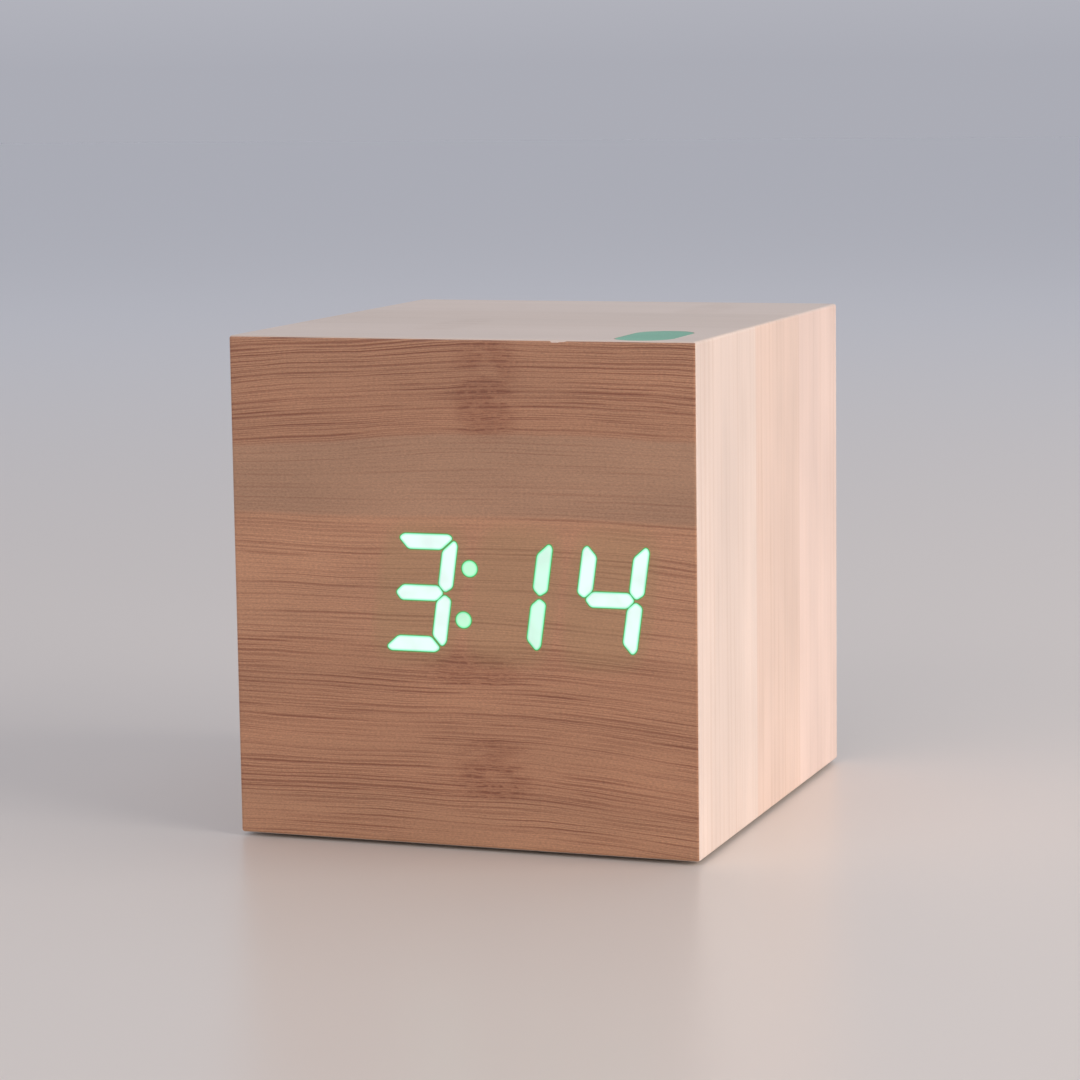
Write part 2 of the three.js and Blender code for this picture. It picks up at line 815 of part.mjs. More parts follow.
function addMainBoard() {
  const { left, right, bottom, top, front, rear } = mainBoard;
  const notchGap = 0.5;
  const notchX = inside.right - cornerBlock.size - notchGap;
  const notchZ = inside.top - cornerBlock.size - notchGap;
  const outline = new THREE.Shape(
    [
      [left, bottom],
      [right, bottom],
      [right, notchZ],
      [notchX, notchZ],
      [notchX, top],
      [-notchX, top],
      [-notchX, notchZ],
      [left, notchZ],
    ].map(([x, z]) => new THREE.Vector2(x, z)),
  );
  const holes = postPlaces.map(([x, z]) => bar(x, z, post.hole, front - past, rear + past, 16));
  const onFront = (part) =>
    box(part.left, part.right, front - part.height, front + soldered, part.bottom, part.top);
  place(
    "main_board",
    carve(slab(outline, front, rear), [mainChip, crystal, mainHeader].map(onFront), holes),
    materials.circuitGreen,
  );

  const { x, z, radius, thickness } = backupCell;
  const reach = radius + backupCell.wall;
  const floor = front - cellHolder.floor;
  const holder = box(x - reach, x + reach, front - cellHolder.height, front, z - reach, z + reach);
  const pocket = bar(x, z, radius + backupCell.gap, front - cellHolder.height - past, floor, 28);
  place("backup_cell_holder", carve(holder, [], [pocket]), materials.blackPlastic);
  const cellRear = floor - backupCell.bed;
  place("backup_cell", bar(x, z, radius, cellRear - thickness, cellRear, 28), materials.steel);
}

function addKeys() {
  const switchRear = mainBoard.rear + switchHeight;
  const switchHalf = 3;
  const plunger = { radius: 1.7, gap: 0.1, front: switchRear - 0.9, rear: switchRear + 1.2 };
  const keyFront = plunger.rear + 0.05;
  const flangeRadius = keyRadius + keyFlange;
  const flangeRear = coverInner - holeGap;
  const rounding = 0.3;
  for (const { name, x } of keys) {
    place(
      `${name}_switch_body`,
      carve(
        box(
          x - switchHalf,
          x + switchHalf,
          mainBoard.rear,
          switchRear,
          keyZ - switchHalf,
          keyZ + switchHalf,
        ),
        [],
        [
          bar(
            x,
            keyZ,
            plunger.radius + plunger.gap,
            plunger.front - keyTravel - plunger.gap,
            switchRear + past,
            16,
          ),
        ],
      ),
      materials.blackPlastic,
    );
    place(
      `${name}_switch_plunger`,
      bar(x, keyZ, plunger.radius, plunger.front, plunger.rear, 16),
      materials.whitePlastic,
    );
    place(
      `${name}_key`,
      turned(
        [
          [0, keyFront],
          [flangeRadius, keyFront],
          [flangeRadius, flangeRear],
          [keyRadius, flangeRear],
          [keyRadius, high.y - rounding],
          [keyRadius - rounding, high.y],
          [0, high.y],
        ],
        28,
      ).translate(x, 0, keyZ),
      materials.keyPlastic,
    );
  }
}

function addSlideSwitch() {
  const bodyRear = mainBoard.rear + switchHeight;
  const body = { halfLength: 4.3, halfHeight: 2 };
  const seatFront = bodyRear - 1.6;
  const knobClearance = 0.1;
  const middleX = knob.x + knobTravel / 2;
  const track = box(
    knob.x - knob.width / 2 - knob.trackGap,
    knob.x + knobTravel + knob.width / 2 + knob.trackGap,
    seatFront,
    bodyRear + past,
    knob.z - knob.height / 2 - knob.trackGap,
    knob.z + knob.height / 2 + knob.trackGap,
  );
  place(
    "slide_switch_body",
    carve(
      box(
        middleX - body.halfLength,
        middleX + body.halfLength,
        mainBoard.rear,
        bodyRear,
        knob.z - body.halfHeight,
        knob.z + body.halfHeight,
      ),
      [],
      [track],
    ),
    materials.zinc,
  );
  place(
    "slide_switch_knob",
    box(
      knob.x - knob.width / 2,
      knob.x + knob.width / 2,
      seatFront + knobClearance,
      knob.rear,
      knob.z - knob.height / 2,
      knob.z + knob.height / 2,
    ),
    materials.keyPlastic,
  );
}

function addSocket() {
  const { x, z, radius, half } = socket;
  const bodyRear = coverInner - holeGap;
  const collarRear = coverOuter - socket.recess;
  const boreFront = collarRear - socket.boreDepth;
  const pinRear = collarRear - 1.5;
  const body = box(x - half, x + half, mainBoard.rear, bodyRear, z - half, z + half);
  const collar = bar(x, z, radius, bodyRear - rooted, collarRear, 24);
  const bore = bar(x, z, socket.bore, boreFront, collarRear + past, 20);
  const pin = bar(x, z, socket.pin, boreFront - rooted, pinRear, 12);
  const hollow = carve(body, [collar], [bore]);
  place("power_socket", carve(hollow, [pin], []), materials.blackPlastic);
}

function addSoundPieces() {
  place(
    "microphone",
    bar(microphone.x, microphone.z, microphone.radius, mainBoard.rear, coverInner - rooted, 24),
    materials.zinc,
  );
  const end = mainBoard.rear + buzzer.height;
  const shell = bar(buzzer.x, buzzer.z, buzzer.radius, mainBoard.rear, end, 28);
  const mouth = bar(buzzer.x, buzzer.z, buzzer.mouth, mainBoard.rear + 1, end + past, 16);
  place("buzzer", carve(shell, [], [mouth]), materials.blackPlastic);
}

// ---- Wiring ----

function addWiring() {
  const bend = (points) =>
    new THREE.CatmullRomCurve3(points.map(([x, y, z]) => new THREE.Vector3(x, y, z)));
  const ribbon = { half: 5, thin: 0.4, gap: 0.3 };
  const ribbonSection = new THREE.Shape(
    [
      [-ribbon.half, -ribbon.thin],
      [ribbon.half, -ribbon.thin],
      [ribbon.half, ribbon.thin],
      [-ribbon.half, ribbon.thin],
    ].map(([x, y]) => new THREE.Vector2(x, y)),
  );
  const ribbonRoute = bend([
    [0, displayBoard.rear + displayHeader.height + ribbon.gap, 42.5],
    [0, -20, 43],
    [0, -8, 49],
    [0, 6, 55],
    [0, 14, 57.7],
    [0, mainBoard.front - mainHeader.height - ribbon.gap, 58],
  ]);
  place(
    "ribbon_cable",
    new THREE.ExtrudeGeometry(ribbonSection, { extrudePath: ribbonRoute, steps: 24 }),
    materials.ribbonGrey,
  );

  const wire = { radius: 0.65, gap: 0.3 };
  const wireSection = roundSection(wire.radius, 8);
  const tabX = contact.face + contact.thickness / 2;
  const tabEnd = tab.end - wire.gap;
  const wireEnd = mainBoard.front - wire.gap;
  const leads = {
    battery_lead_black: [
      [-tabX, tabEnd, cellZ(0)],
      [-tabX, 14.5, cellZ(0) + 1],
      [-23.6, 12.6, 24],
      [-22.8, 13, 36],
      [-21, 17, 44.5],
      [-20, wireEnd, 46.5],
    ],
    battery_lead_red: [
      [tabX, tabEnd, cellZ(2)],
      [24.4, 14.6, cellZ(2) + 1],
      [23.6, 13.4, 40],
      [23.2, 17, 45],
      [23.4, wireEnd, 47],
    ],
  };
  for (const [name, points] of Object.entries(leads)) {
    place(
      name,
      new THREE.ExtrudeGeometry(wireSection, { extrudePath: bend(points), steps: 30 }),
      name.endsWith("red") ? materials.redWire : materials.blackWire,
    );
  }
}

addCase();
addBlocks();
addFeet();
addDisplay();
addRearCover();
addBatteryDoor();
addCells();
addContacts();
addMainBoard();
addKeys();
addSlideSwitch();
addSocket();
addSoundPieces();
addWiring();
addScrews();

export default clock;
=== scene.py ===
# A bamboo-veneered block clock with a seven-segment display that shines through its front.
import math
import bmesh
import bpy
from mathutils import Matrix, Vector


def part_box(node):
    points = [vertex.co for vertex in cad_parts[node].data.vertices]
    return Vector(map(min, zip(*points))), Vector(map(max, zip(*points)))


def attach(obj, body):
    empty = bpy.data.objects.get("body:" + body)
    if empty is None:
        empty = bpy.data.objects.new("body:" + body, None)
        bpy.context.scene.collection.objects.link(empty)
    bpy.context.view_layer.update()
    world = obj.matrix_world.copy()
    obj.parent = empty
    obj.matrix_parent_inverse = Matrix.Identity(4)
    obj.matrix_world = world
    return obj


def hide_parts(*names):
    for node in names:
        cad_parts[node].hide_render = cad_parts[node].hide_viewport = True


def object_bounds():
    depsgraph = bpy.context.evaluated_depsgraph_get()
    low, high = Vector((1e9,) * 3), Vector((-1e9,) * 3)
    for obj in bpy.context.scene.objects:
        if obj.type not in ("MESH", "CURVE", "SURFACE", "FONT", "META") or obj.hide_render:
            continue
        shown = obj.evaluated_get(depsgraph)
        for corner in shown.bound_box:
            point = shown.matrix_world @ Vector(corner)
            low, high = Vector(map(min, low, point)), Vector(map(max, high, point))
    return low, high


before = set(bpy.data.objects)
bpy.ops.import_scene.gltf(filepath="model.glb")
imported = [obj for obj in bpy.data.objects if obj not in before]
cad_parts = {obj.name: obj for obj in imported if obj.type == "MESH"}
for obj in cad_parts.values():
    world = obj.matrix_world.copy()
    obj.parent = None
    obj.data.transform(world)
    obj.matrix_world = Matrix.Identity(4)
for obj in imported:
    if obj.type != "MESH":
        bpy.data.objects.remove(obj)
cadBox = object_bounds()
mm = 0.001
scene = bpy.context.scene
scene.view_settings.view_transform = "Standard"

lowCorner, highCorner = Vector(cadBox[0]), Vector(cadBox[1])
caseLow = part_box("front_veneer")[0]  # the case stands on its feet, a little over the floor
caseHigh = highCorner
displayX, _, displayZ = sum(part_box("segment_mask"), Vector()) / 2
print("frame loaded,", len(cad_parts), "nodes")


def feed(tree, node, inputs):
    # plugs each socket in, and sets each plain value on the input's own socket
    for key, value in inputs.items():
        if isinstance(value, bpy.types.NodeSocket):
            tree.links.new(value, node.inputs[key])
        else:
            node.inputs[key].default_value = value
    return node


def addNode(tree, kind, inputs=None, **settings):
    node = tree.nodes.new(kind)
    for key, value in settings.items():
        setattr(node, key, value)
    return feed(tree, node, inputs or {})


def calc(tree, operation, a, b=0.0):
    return addNode(tree, "ShaderNodeMath", {0: a, 1: b}, operation=operation).outputs[0]


def plus(tree, a, b):
    return calc(tree, "ADD", a, b)


def minus(tree, a, b):
    return calc(tree, "SUBTRACT", a, b)


def times(tree, a, b):
    return calc(tree, "MULTIPLY", a, b)


def noise(tree, vector, scale=1.0, detail=2.0, roughness=0.5):
    values = {"Vector": vector, "Scale": scale, "Detail": detail, "Roughness": roughness}
    return addNode(tree, "ShaderNodeTexNoise", values).outputs[0]


def remap(tree, value, low, high, toLow=0.0, toHigh=1.0, smooth=True):
    values = {"Value": value, "From Min": low, "From Max": high, "To Min": toLow, "To Max": toHigh}
    kind = "SMOOTHSTEP" if smooth else "LINEAR"
    return addNode(tree, "ShaderNodeMapRange", values, interpolation_type=kind).outputs[0]


def ramp(tree, value, stops, interpolation="LINEAR"):
    node = addNode(tree, "ShaderNodeValToRGB", {"Fac": value})
    node.color_ramp.interpolation = interpolation
    elements = node.color_ramp.elements
    while len(elements) < len(stops):
        elements.new(1.0)
    for element, (place, colour) in zip(elements, stops):
        element.position = place
        element.color = (*colour, 1)
    return node.outputs[0]


def mixColour(tree, factor, a, b, blend="MIX"):
    a, b = (v if isinstance(v, bpy.types.NodeSocket) else (*v[:3], 1) for v in (a, b))
    values = {0: factor, 6: a, 7: b}
    return addNode(tree, "ShaderNodeMix", values, data_type="RGBA", blend_type=blend).outputs[2]


def joinXyz(tree, x, y, z):
    return addNode(tree, "ShaderNodeCombineXYZ", {0: x, 1: y, 2: z}).outputs[0]


def objectPoint(tree):
    return addNode(tree, "ShaderNodeTexCoord").outputs["Object"]


def splitPoint(tree):
    return addNode(tree, "ShaderNodeSeparateXYZ", {0: objectPoint(tree)}).outputs


def farthest(tree, offsets, powers):
    # how far a point lies from the middle of a rounded box, from its offsets in half sizes
    raised = [calc(tree, "POWER", calc(tree, "ABSOLUTE", offset), power)
              for offset, power in zip(offsets, powers)]
    return plus(tree, *raised)


def newMaterial(name):
    material = bpy.data.materials.new(name)
    material.use_nodes = True
    return material, material.node_tree, material.node_tree.nodes["Principled BSDF"]


def bump(tree, height, strength, distance):
    values = {"Height": height, "Strength": strength, "Distance": distance}
    return addNode(tree, "ShaderNodeBump", values).outputs[0]


# Bamboo: bands run across the grain from the low end of the face to its high end. Each has the place of
# its upper edge as a share of the face, its tone, and how strong its dark lines are.
# The front is painted darker and redder than the wood itself: painted shade, as the front faces away from the
# lamp at the right.
shadedFrontBamboo = {
    "along": 0, "across": 2, "seed": 3.1,
    "bands": [
        (0.094, (0.505, 0.255, 0.142), 0.90),
        (0.405, (0.490, 0.240, 0.133), 1.05),
        (0.655, (0.526, 0.266, 0.150), 0.72),
        (0.815, (0.428, 0.237, 0.142), 0.40),
        (1.0, (0.458, 0.226, 0.126), 1.25),
    ],
    "lineTone": (0.225, 0.072, 0.034), "linePitch": 0.70 * mm, "lineLength": 16 * mm, "dip": 2.4 * mm,
    # each knuckle's middle along and across the grain, and how far it reaches
    "knuckles": [(3.8 * mm, 61.5 * mm, 4.6 * mm, 7.2 * mm), (4.2 * mm, 11.2 * mm, 5.5 * mm, 4.2 * mm),
                 (1.5 * mm, 24.5 * mm, 7.0 * mm, 2.4 * mm)],
    "knuckleTone": (0.30, 0.105, 0.050), "bow": 1.1 * mm, "droop": 1.7 * mm, "speckle": 0.20,
    # the pale edge tone and the widths after it paint a highlight along the top and right edges, with chips
    # along the top
    "roughness": 0.42, "highlightAndChipTone": (0.78, 0.67, 0.60), "rightHighlightWidth": 0.14 * mm, "topEdge": 0.16 * mm,
    "chip": 0.34 * mm, "paintedGlow": 0.26,
}
# The sides are painted paler than the wood itself: painted light and sheen from the lamp at the right.
litSideBamboo = {
    "along": 2, "across": 1, "seed": 11.7,
    "bands": [
        (0.39, (0.765, 0.612, 0.527), 0.34),
        (0.70, (0.745, 0.555, 0.458), 0.52),
        (1.0, (0.765, 0.580, 0.497), 0.28),
    ],
    "lineTone": (0.57, 0.38, 0.26), "linePitch": 1.9 * mm, "lineLength": 60 * mm, "seam": 0.35,
    # fade paints bounce light from the floor: the side is painted paler towards the foot.
    "knuckles": [], "bow": 0.5 * mm, "speckle": 0.03, "roughness": 0.40, "fade": (1.07, 0.93),
}
# The top and bottom are painted paler than the wood itself: a painted sheen, where the top catches the light
# at a low angle.
sheenTopBamboo = {
    "along": 0, "across": 1, "seed": 23.9,
    "bands": [
        (0.33, (0.668, 0.545, 0.462), 0.42),
        (0.68, (0.645, 0.522, 0.438), 0.58),
        (1.0, (0.675, 0.553, 0.470), 0.36),
    ],
    "lineTone": (0.52, 0.39, 0.29), "linePitch": 1.15 * mm, "lineLength": 45 * mm,
    "knuckles": [(-9 * mm, -12 * mm, 3.5 * mm, 10 * mm), (17 * mm, 22 * mm, 3.5 * mm, 11 * mm)],
    "knuckleTone": (0.50, 0.37, 0.28), "cloud": 0.02, "seam": 0.35,
    "bow": 0.4 * mm, "speckle": 0.03, "roughness": 0.36,
}
rearBamboo = {
    "along": 0, "across": 2, "seed": 41.3,
    "bands": [
        (0.40, (0.56, 0.37, 0.25), 0.55),
        (0.75, (0.53, 0.345, 0.235), 0.70),
        (1.0, (0.57, 0.38, 0.26), 0.5),
    ],
    "lineTone": (0.30, 0.15, 0.085), "linePitch": 0.9 * mm, "lineLength": 18 * mm,
    "knuckles": [], "bow": 0.6 * mm, "speckle": 0.08, "roughness": 0.42,
}


def spread(tree, along, across, alongScale, acrossScale, seed, **settings):
    # noise stretched along the grain
    x = times(tree, along, alongScale)
    y = times(tree, across, acrossScale)
    return noise(tree, joinXyz(tree, x, y, seed), **settings)


def swing(tree, value, amount):
    return times(tree, minus(tree, value, 0.5), amount)


def grainLines(tree, along, bent, pitch, length, seed, knuckle):
    # thin dark lines at a nearly even pitch, each with its own place, weight and breaks
    row = calc(tree, "DIVIDE", bent, pitch)
    line = calc(tree, "FLOOR", row)
    share = minus(tree, row, line)
    draw = plus(tree, line, seed)
    pick = addNode(tree, "ShaderNodeTexWhiteNoise", {"W": draw}, noise_dimensions="1D")
    random = addNode(tree, "ShaderNodeSeparateXYZ", {0: pick.outputs["Color"]}).outputs
    middle = plus(tree, swing(tree, random[0], 0.36), 0.5)
    away = calc(tree, "ABSOLUTE", minus(tree, share, middle))
    half = remap(tree, random[1], 0.0, 1.0, 0.17, 0.34, smooth=False)
    shape = remap(tree, calc(tree, "DIVIDE", away, half), 0.25, 1.0, 1.0, 0.0)
    rowPlace = times(tree, line, 7.3)
    slow = noise(tree, joinXyz(tree, calc(tree, "DIVIDE", along, length), rowPlace, seed), detail=2.0)
    weight = remap(tree, slow, 0.34, 0.58, 0.25, 1.0)
    if knuckle is not None:
        quick = noise(tree, joinXyz(tree, times(tree, along, 620), rowPlace, seed), detail=2.0)
        dashes = remap(tree, quick, 0.38, 0.55, 0.1, 1.2)
        change = minus(tree, dashes, weight)
        weight = plus(tree, weight, times(tree, knuckle, change))
    own = remap(tree, random[2], 0.0, 1.0, 0.40, 1.0, smooth=False)
    return times(tree, shape, times(tree, weight, own))


def bambooTone(tree, bamboo):
    point = splitPoint(tree)
    along, across = point[bamboo["along"]], point[bamboo["across"]]
    low, high = caseLow[bamboo["across"]], caseHigh[bamboo["across"]]
    seed = bamboo["seed"]

    # the fibres bow and gather instead of running dead straight
    waves = spread(tree, along, across, 26, 70, seed)
    bent = plus(tree, across, swing(tree, waves, 2 * bamboo["bow"]))
    if "droop" in bamboo:  # they sink towards the right low down, and towards the left in the top band
        lower = remap(tree, across, 20 * mm, 50 * mm, 1.0, 0.25)
        upper = remap(tree, across, 42 * mm, 55 * mm)
        sinks = (caseHigh.x, 1.7, bamboo["droop"], lower), (caseLow.x, 1.4, bamboo["dip"], upper)
        for edge, power, depth, weight in sinks:
            past = remap(tree, along, 6 * mm, edge, smooth=False)
            fall = times(tree, calc(tree, "POWER", past, power), depth)
            bent = plus(tree, bent, times(tree, fall, weight))

    # knuckles, where a growth ring of the cane crosses the strip
    knuckle = None
    for x, z, halfLength, halfHeight in bamboo["knuckles"]:
        dx = calc(tree, "DIVIDE", minus(tree, along, x), halfLength)
        dz = calc(tree, "DIVIDE", minus(tree, across, z), halfHeight)
        spot = remap(tree, farthest(tree, (dx, dz), (2, 4)), 0.15, 1.5, 1.0, 0.0)
        knuckle = spot if knuckle is None else calc(tree, "MAXIMUM", knuckle, spot)
    fine = swing(tree, spread(tree, along, across, 240, 520, seed), 0.30 * mm)
    if knuckle is not None:
        ragged = remap(tree, spread(tree, along, across, 160, 420, seed + 1), 0.30, 0.50)
        knuckle = times(tree, knuckle, ragged)
        fine = times(tree, fine, plus(tree, times(tree, knuckle, 1.6), 0.6))
    bent = plus(tree, bent, fine)

    # glued strips meet at straight seams, natural bands run with the fibres
    place = remap(tree, across if "seam" in bamboo else bent, low, high, smooth=False)
    soft = 0.001 if "seam" in bamboo else 0.006
    toneStops, lineStops, start = [], [], 0.0
    for end, tone, lines in bamboo["bands"]:
        for edge in (start + soft, end - soft):
            toneStops.append((edge, tone))
            lineStops.append((edge, (lines,) * 3))
        start = end
    tone = ramp(tree, place, toneStops)
    amount = ramp(tree, place, lineStops)
    for end, *_ in bamboo["bands"][:-1] if "seam" in bamboo else []:
        off = calc(tree, "ABSOLUTE", minus(tree, place, end))
        seam = remap(tree, off, 0.0006, 0.0024, bamboo["seam"], 0.0)
        tone = mixColour(tree, seam, tone, bamboo["lineTone"])

    pitch, length = bamboo["linePitch"], bamboo["lineLength"]
    coarse = grainLines(tree, along, bent, pitch, length, seed + 5, knuckle)
    hair = grainLines(tree, along, bent, 0.41 * pitch, 0.6 * length, seed + 9, knuckle)
    patch = remap(tree, spread(tree, along, across, 45, 190, seed + 2), 0.32, 0.56, 0.42, 1.0)
    if knuckle is not None:
        patch = calc(tree, "MAXIMUM", patch, knuckle)
    lines = calc(tree, "MAXIMUM", coarse, times(tree, hair, 0.8))
    lines = times(tree, lines, times(tree, patch, amount))
    if knuckle is not None:
        redness = times(tree, plus(tree, amount, 0.25), 0.30)
        tone = mixColour(tree, times(tree, knuckle, redness), tone, bamboo["knuckleTone"])
    lines = calc(tree, "MINIMUM", lines, 1.0)

    # broad clouds of warmer and greyer wood, and the fine pores
    cloud = bamboo.get("cloud", 0.08)
    cloudAmount = spread(tree, along, across, 30, 120, seed + 7)
    cloudAmount = remap(tree, cloudAmount, 0.3, 0.7, 1 - cloud, 1 + cloud, smooth=False)
    pores = spread(tree, along, across, 2600, 5200, seed, detail=2.0, roughness=0.7)
    poreAmount = remap(tree, pores, 0.25, 0.75, 1 - bamboo["speckle"], 1 + bamboo["speckle"], smooth=False)
    shade = times(tree, cloudAmount, poreAmount)
    # painted bounce light from the floor
    if "fade" in bamboo:  # the strips get paler towards the foot
        fade = remap(tree, along, caseLow.z, caseHigh.z, *bamboo["fade"], smooth=False)
        shade = times(tree, shade, fade)
    tone = mixColour(tree, times(tree, lines, 0.92), tone, bamboo["lineTone"])
    tone = mixColour(tree, 1.0, tone, joinXyz(tree, shade, shade, shade), blend="MULTIPLY")
    return tone, lines, pores


def edgeHighlightAndChips(tree, bamboo):
    # a painted highlight along the top and the right of the front, where its rounded edges catch the light,
    # with a few tiny chips of bare veneer at the top
    x, _, z = splitPoint(tree)
    grit = noise(tree, objectPoint(tree), scale=420, detail=1.0)
    chips = remap(tree, grit, 0.66, 0.72, bamboo["topEdge"], bamboo["chip"])
    topHighlightAndChips = calc(tree, "LESS_THAN", minus(tree, caseHigh.z, z), chips)
    rightHighlight = calc(tree, "LESS_THAN", minus(tree, caseHigh.x, x), bamboo["rightHighlightWidth"])
    return times(tree, calc(tree, "MAXIMUM", topHighlightAndChips, rightHighlight), 0.8)


def makeBamboo(name, bamboo):
    material, tree, shader = newMaterial(name)
    tone, lines, pores = bambooTone(tree, bamboo)
    if bamboo is shadedFrontBamboo:
        # painted glow: the digits' light painted into the veneer's colour round them
        paintedGlow = times(tree, paintedGlowAmount(tree), bamboo["paintedGlow"])
        tone = mixColour(tree, paintedGlow, tone, glowTones["paintedGlow"])
        # painted highlight along the top and right edges, with a few chips
        tone = mixColour(tree, edgeHighlightAndChips(tree, bamboo), tone, bamboo["highlightAndChipTone"])
    roughness = bamboo["roughness"]
    rough = remap(tree, pores, 0.2, 0.8, roughness - 0.05, roughness + 0.08, smooth=False)
    height = plus(tree, times(tree, lines, -0.6), times(tree, pores, 0.4))
    feed(tree, shader, {"Base Color": tone, "Roughness": rough, "Coat Weight": 0.12, "Coat Roughness": 0.3,
                        "Normal": bump(tree, height, 0.35, 0.05 * mm)})
    return material


# The digits: seven-segment figures that shine through the front veneer, as thin lit pieces on its face.
digits = {
    "height": 15.7 * mm, "width": 9.1 * mm, "pitch": 13.2 * mm, "stroke": 2.05 * mm,
    "slant": math.tan(math.radians(8)), "gap": 0.09 * mm, "corner": 1.3 * mm,
    "colonRadius": 1.08 * mm, "colonSpacing": 6.84 * mm, "rounding": 0.56 * mm,
    "face": lowCorner.y + 0.005 * mm, "thickness": 0.01 * mm, "rim": 0.17 * mm, "letIn": 0.002 * mm,
    "fade": 0.15 * mm, "dotSteps": 36,
}
segmentNames = ["top", "upperRight", "lowerRight", "bottom", "lowerLeft", "upperLeft", "middle"]
shownDigits = {
    1: ("digit_three", ["top", "upperRight", "lowerRight", "bottom", "middle"], "glowWhite"),
    2: ("digit_one", ["upperRight", "lowerRight"], "glowMint"),
    3: ("digit_four", ["upperLeft", "upperRight", "middle", "lowerRight"], "glowWhite"),
}

# The light of the digits: how its tone climbs from the green rim round a segment to its core.
glowTones = {
    "rim": (0.035, 0.235, 0.030), "edge": (0.24, 0.90, 0.48), "inner": (0.62, 0.99, 0.80),
    "white": (0.82, 1.0, 0.97), "mint": (0.66, 0.985, 0.83), "green": (0.53, 0.95, 0.67),
    # the first tone below is the digits' light painted onto the veneer round them, as a painted glow
    "paintedGlow": (0.345, 0.245, 0.110), "unlit": (0.02, 0.05, 0.02),
    # how far along the climb the rim's outer edge, the segment's own edge and the ring inside it are
    "outerPlace": 0.04, "edgePlace": 0.42, "innerPlace": 0.72,
}


def paintedGlowAmount(tree):
    # painted glow: the veneer is painted a little olive close round the lit digits, for their light
    point = splitPoint(tree)
    paintedGlow = None
    for index in shownDigits:
        centreX = displayX + (index - 1.5) * digits["pitch"]
        lean = times(tree, minus(tree, point[2], displayZ), digits["slant"])
        dx = minus(tree, minus(tree, point[0], centreX), lean)
        dx = calc(tree, "DIVIDE", dx, 0.72 * digits["width"])
        dz = calc(tree, "DIVIDE", minus(tree, point[2], displayZ), 0.64 * digits["height"])
        spot = remap(tree, farthest(tree, (dx, dz), (4, 4)), 0.25, 1.2, 1.0, 0.0)
        paintedGlow = spot if paintedGlow is None else calc(tree, "MAXIMUM", paintedGlow, spot)
    return paintedGlow


def makeGlow(name, core):
    material, tree, shader = newMaterial(name)
    tone = bambooTone(tree, shadedFrontBamboo)[0]
    glow = addNode(tree, "ShaderNodeAttribute", attribute_name="glow").outputs["Fac"]
    mottle = noise(tree, objectPoint(tree), scale=260, detail=2.0, roughness=0.5)
    duller = tuple(0.80 * v + 0.10 * core[1] for v in core)
    mottled = mixColour(tree, remap(tree, mottle, 0.42, 0.66), core, duller)
    light = ramp(tree, glow, [(0.0, (0, 0, 0)), (0.16, glowTones["rim"]), (0.34, glowTones["rim"]),
                              (0.45, glowTones["edge"]), (0.70, glowTones["inner"]), (1.0, (1, 1, 1))])
    lit = mixColour(tree, 1.0, light, mottled, blend="MULTIPLY")
    lit = mixColour(tree, remap(tree, glow, 0.2, 0.5), light, lit)
    dark = mixColour(tree, remap(tree, glow, 0.0, 0.3), tone, glowTones["unlit"])
    feed(tree, shader, {"Base Color": dark, "Roughness": 0.5, "Emission Color": lit,
                        "Emission Strength": 1.0})
    return material


def makePlastic(name, colour, roughness=0.45, grain=0.0, grainScale=9000):
    material, tree, shader = newMaterial(name)
    point = objectPoint(tree)
    lighter = tuple(min(1, v * 1.18 + 0.004) for v in colour)
    tone = mixColour(tree, remap(tree, noise(tree, point, scale=60, detail=3), 0.3, 0.7), colour, lighter)
    cells = noise(tree, point, scale=grainScale, detail=1.5)
    rough = remap(tree, cells, 0.3, 0.7, roughness - 0.06, roughness + 0.08, smooth=False)
    feed(tree, shader, {"Base Color": tone, "Roughness": rough})
    if grain:
        feed(tree, shader, {"Normal": bump(tree, cells, grain, 0.04 * mm)})
    return material


def makeMetal(name, colour, roughness=0.3, brush=0.15):
    material, tree, shader = newMaterial(name)
    stretch = zip(splitPoint(tree), (400, 400, 9000))  # finest along Z, so the brushing runs level
    brushed = joinXyz(tree, *(times(tree, value, scale) for value, scale in stretch))
    lines = noise(tree, brushed, detail=2)
    smudge = noise(tree, objectPoint(tree), scale=240, detail=3)
    darker = tuple(v * 0.8 for v in colour)
    tone = mixColour(tree, remap(tree, smudge, 0.35, 0.7), colour, darker)
    rough = remap(tree, lines, 0.3, 0.7, roughness - brush / 2, roughness + brush)
    feed(tree, shader, {"Base Color": tone, "Roughness": rough, "Metallic": 1.0})
    return material


boards = {
    "mask": (0.018, 0.150, 0.055), "track": (0.045, 0.260, 0.100),
    "tracks": {"Scale": 2.2, "Mortar Size": 0.012, "Mortar Smooth": 0.2, "Brick Width": 0.9,
               "Row Height": 0.28},
    # where each board's green faces lie, and the tone of the parts that stand in front of and behind them
    "main": (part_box("main_board")[1].y - 1.65 * mm, 1.0, (0.02, 0.02, 0.022), (0, 0, 0)),
    "display": (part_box("display_board")[0].y + 0.68 * mm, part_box("display_board")[0].y + 2.35 * mm,
                (0.80, 0.80, 0.72), (0.02, 0.02, 0.022)),
}


def makeBoard(name, front, rear, frontPart, rearPart):
    material, tree, shader = newMaterial(name)
    x, y, z = splitPoint(tree)
    flat = joinXyz(tree, times(tree, x, 100), times(tree, z, 100), 0)
    tracks = addNode(tree, "ShaderNodeTexBrick", {"Vector": flat, **boards["tracks"]})
    tone = mixColour(tree, tracks.outputs["Fac"], boards["mask"], boards["track"])
    tone = mixColour(tree, calc(tree, "LESS_THAN", y, front), tone, frontPart)
    tone = mixColour(tree, calc(tree, "GREATER_THAN", y, rear), tone, rearPart)
    grain = noise(tree, objectPoint(tree), scale=3000)
    rough = remap(tree, grain, 0.3, 0.7, 0.26, 0.40, smooth=False)
    feed(tree, shader, {"Base Color": tone, "Roughness": rough})
    return material


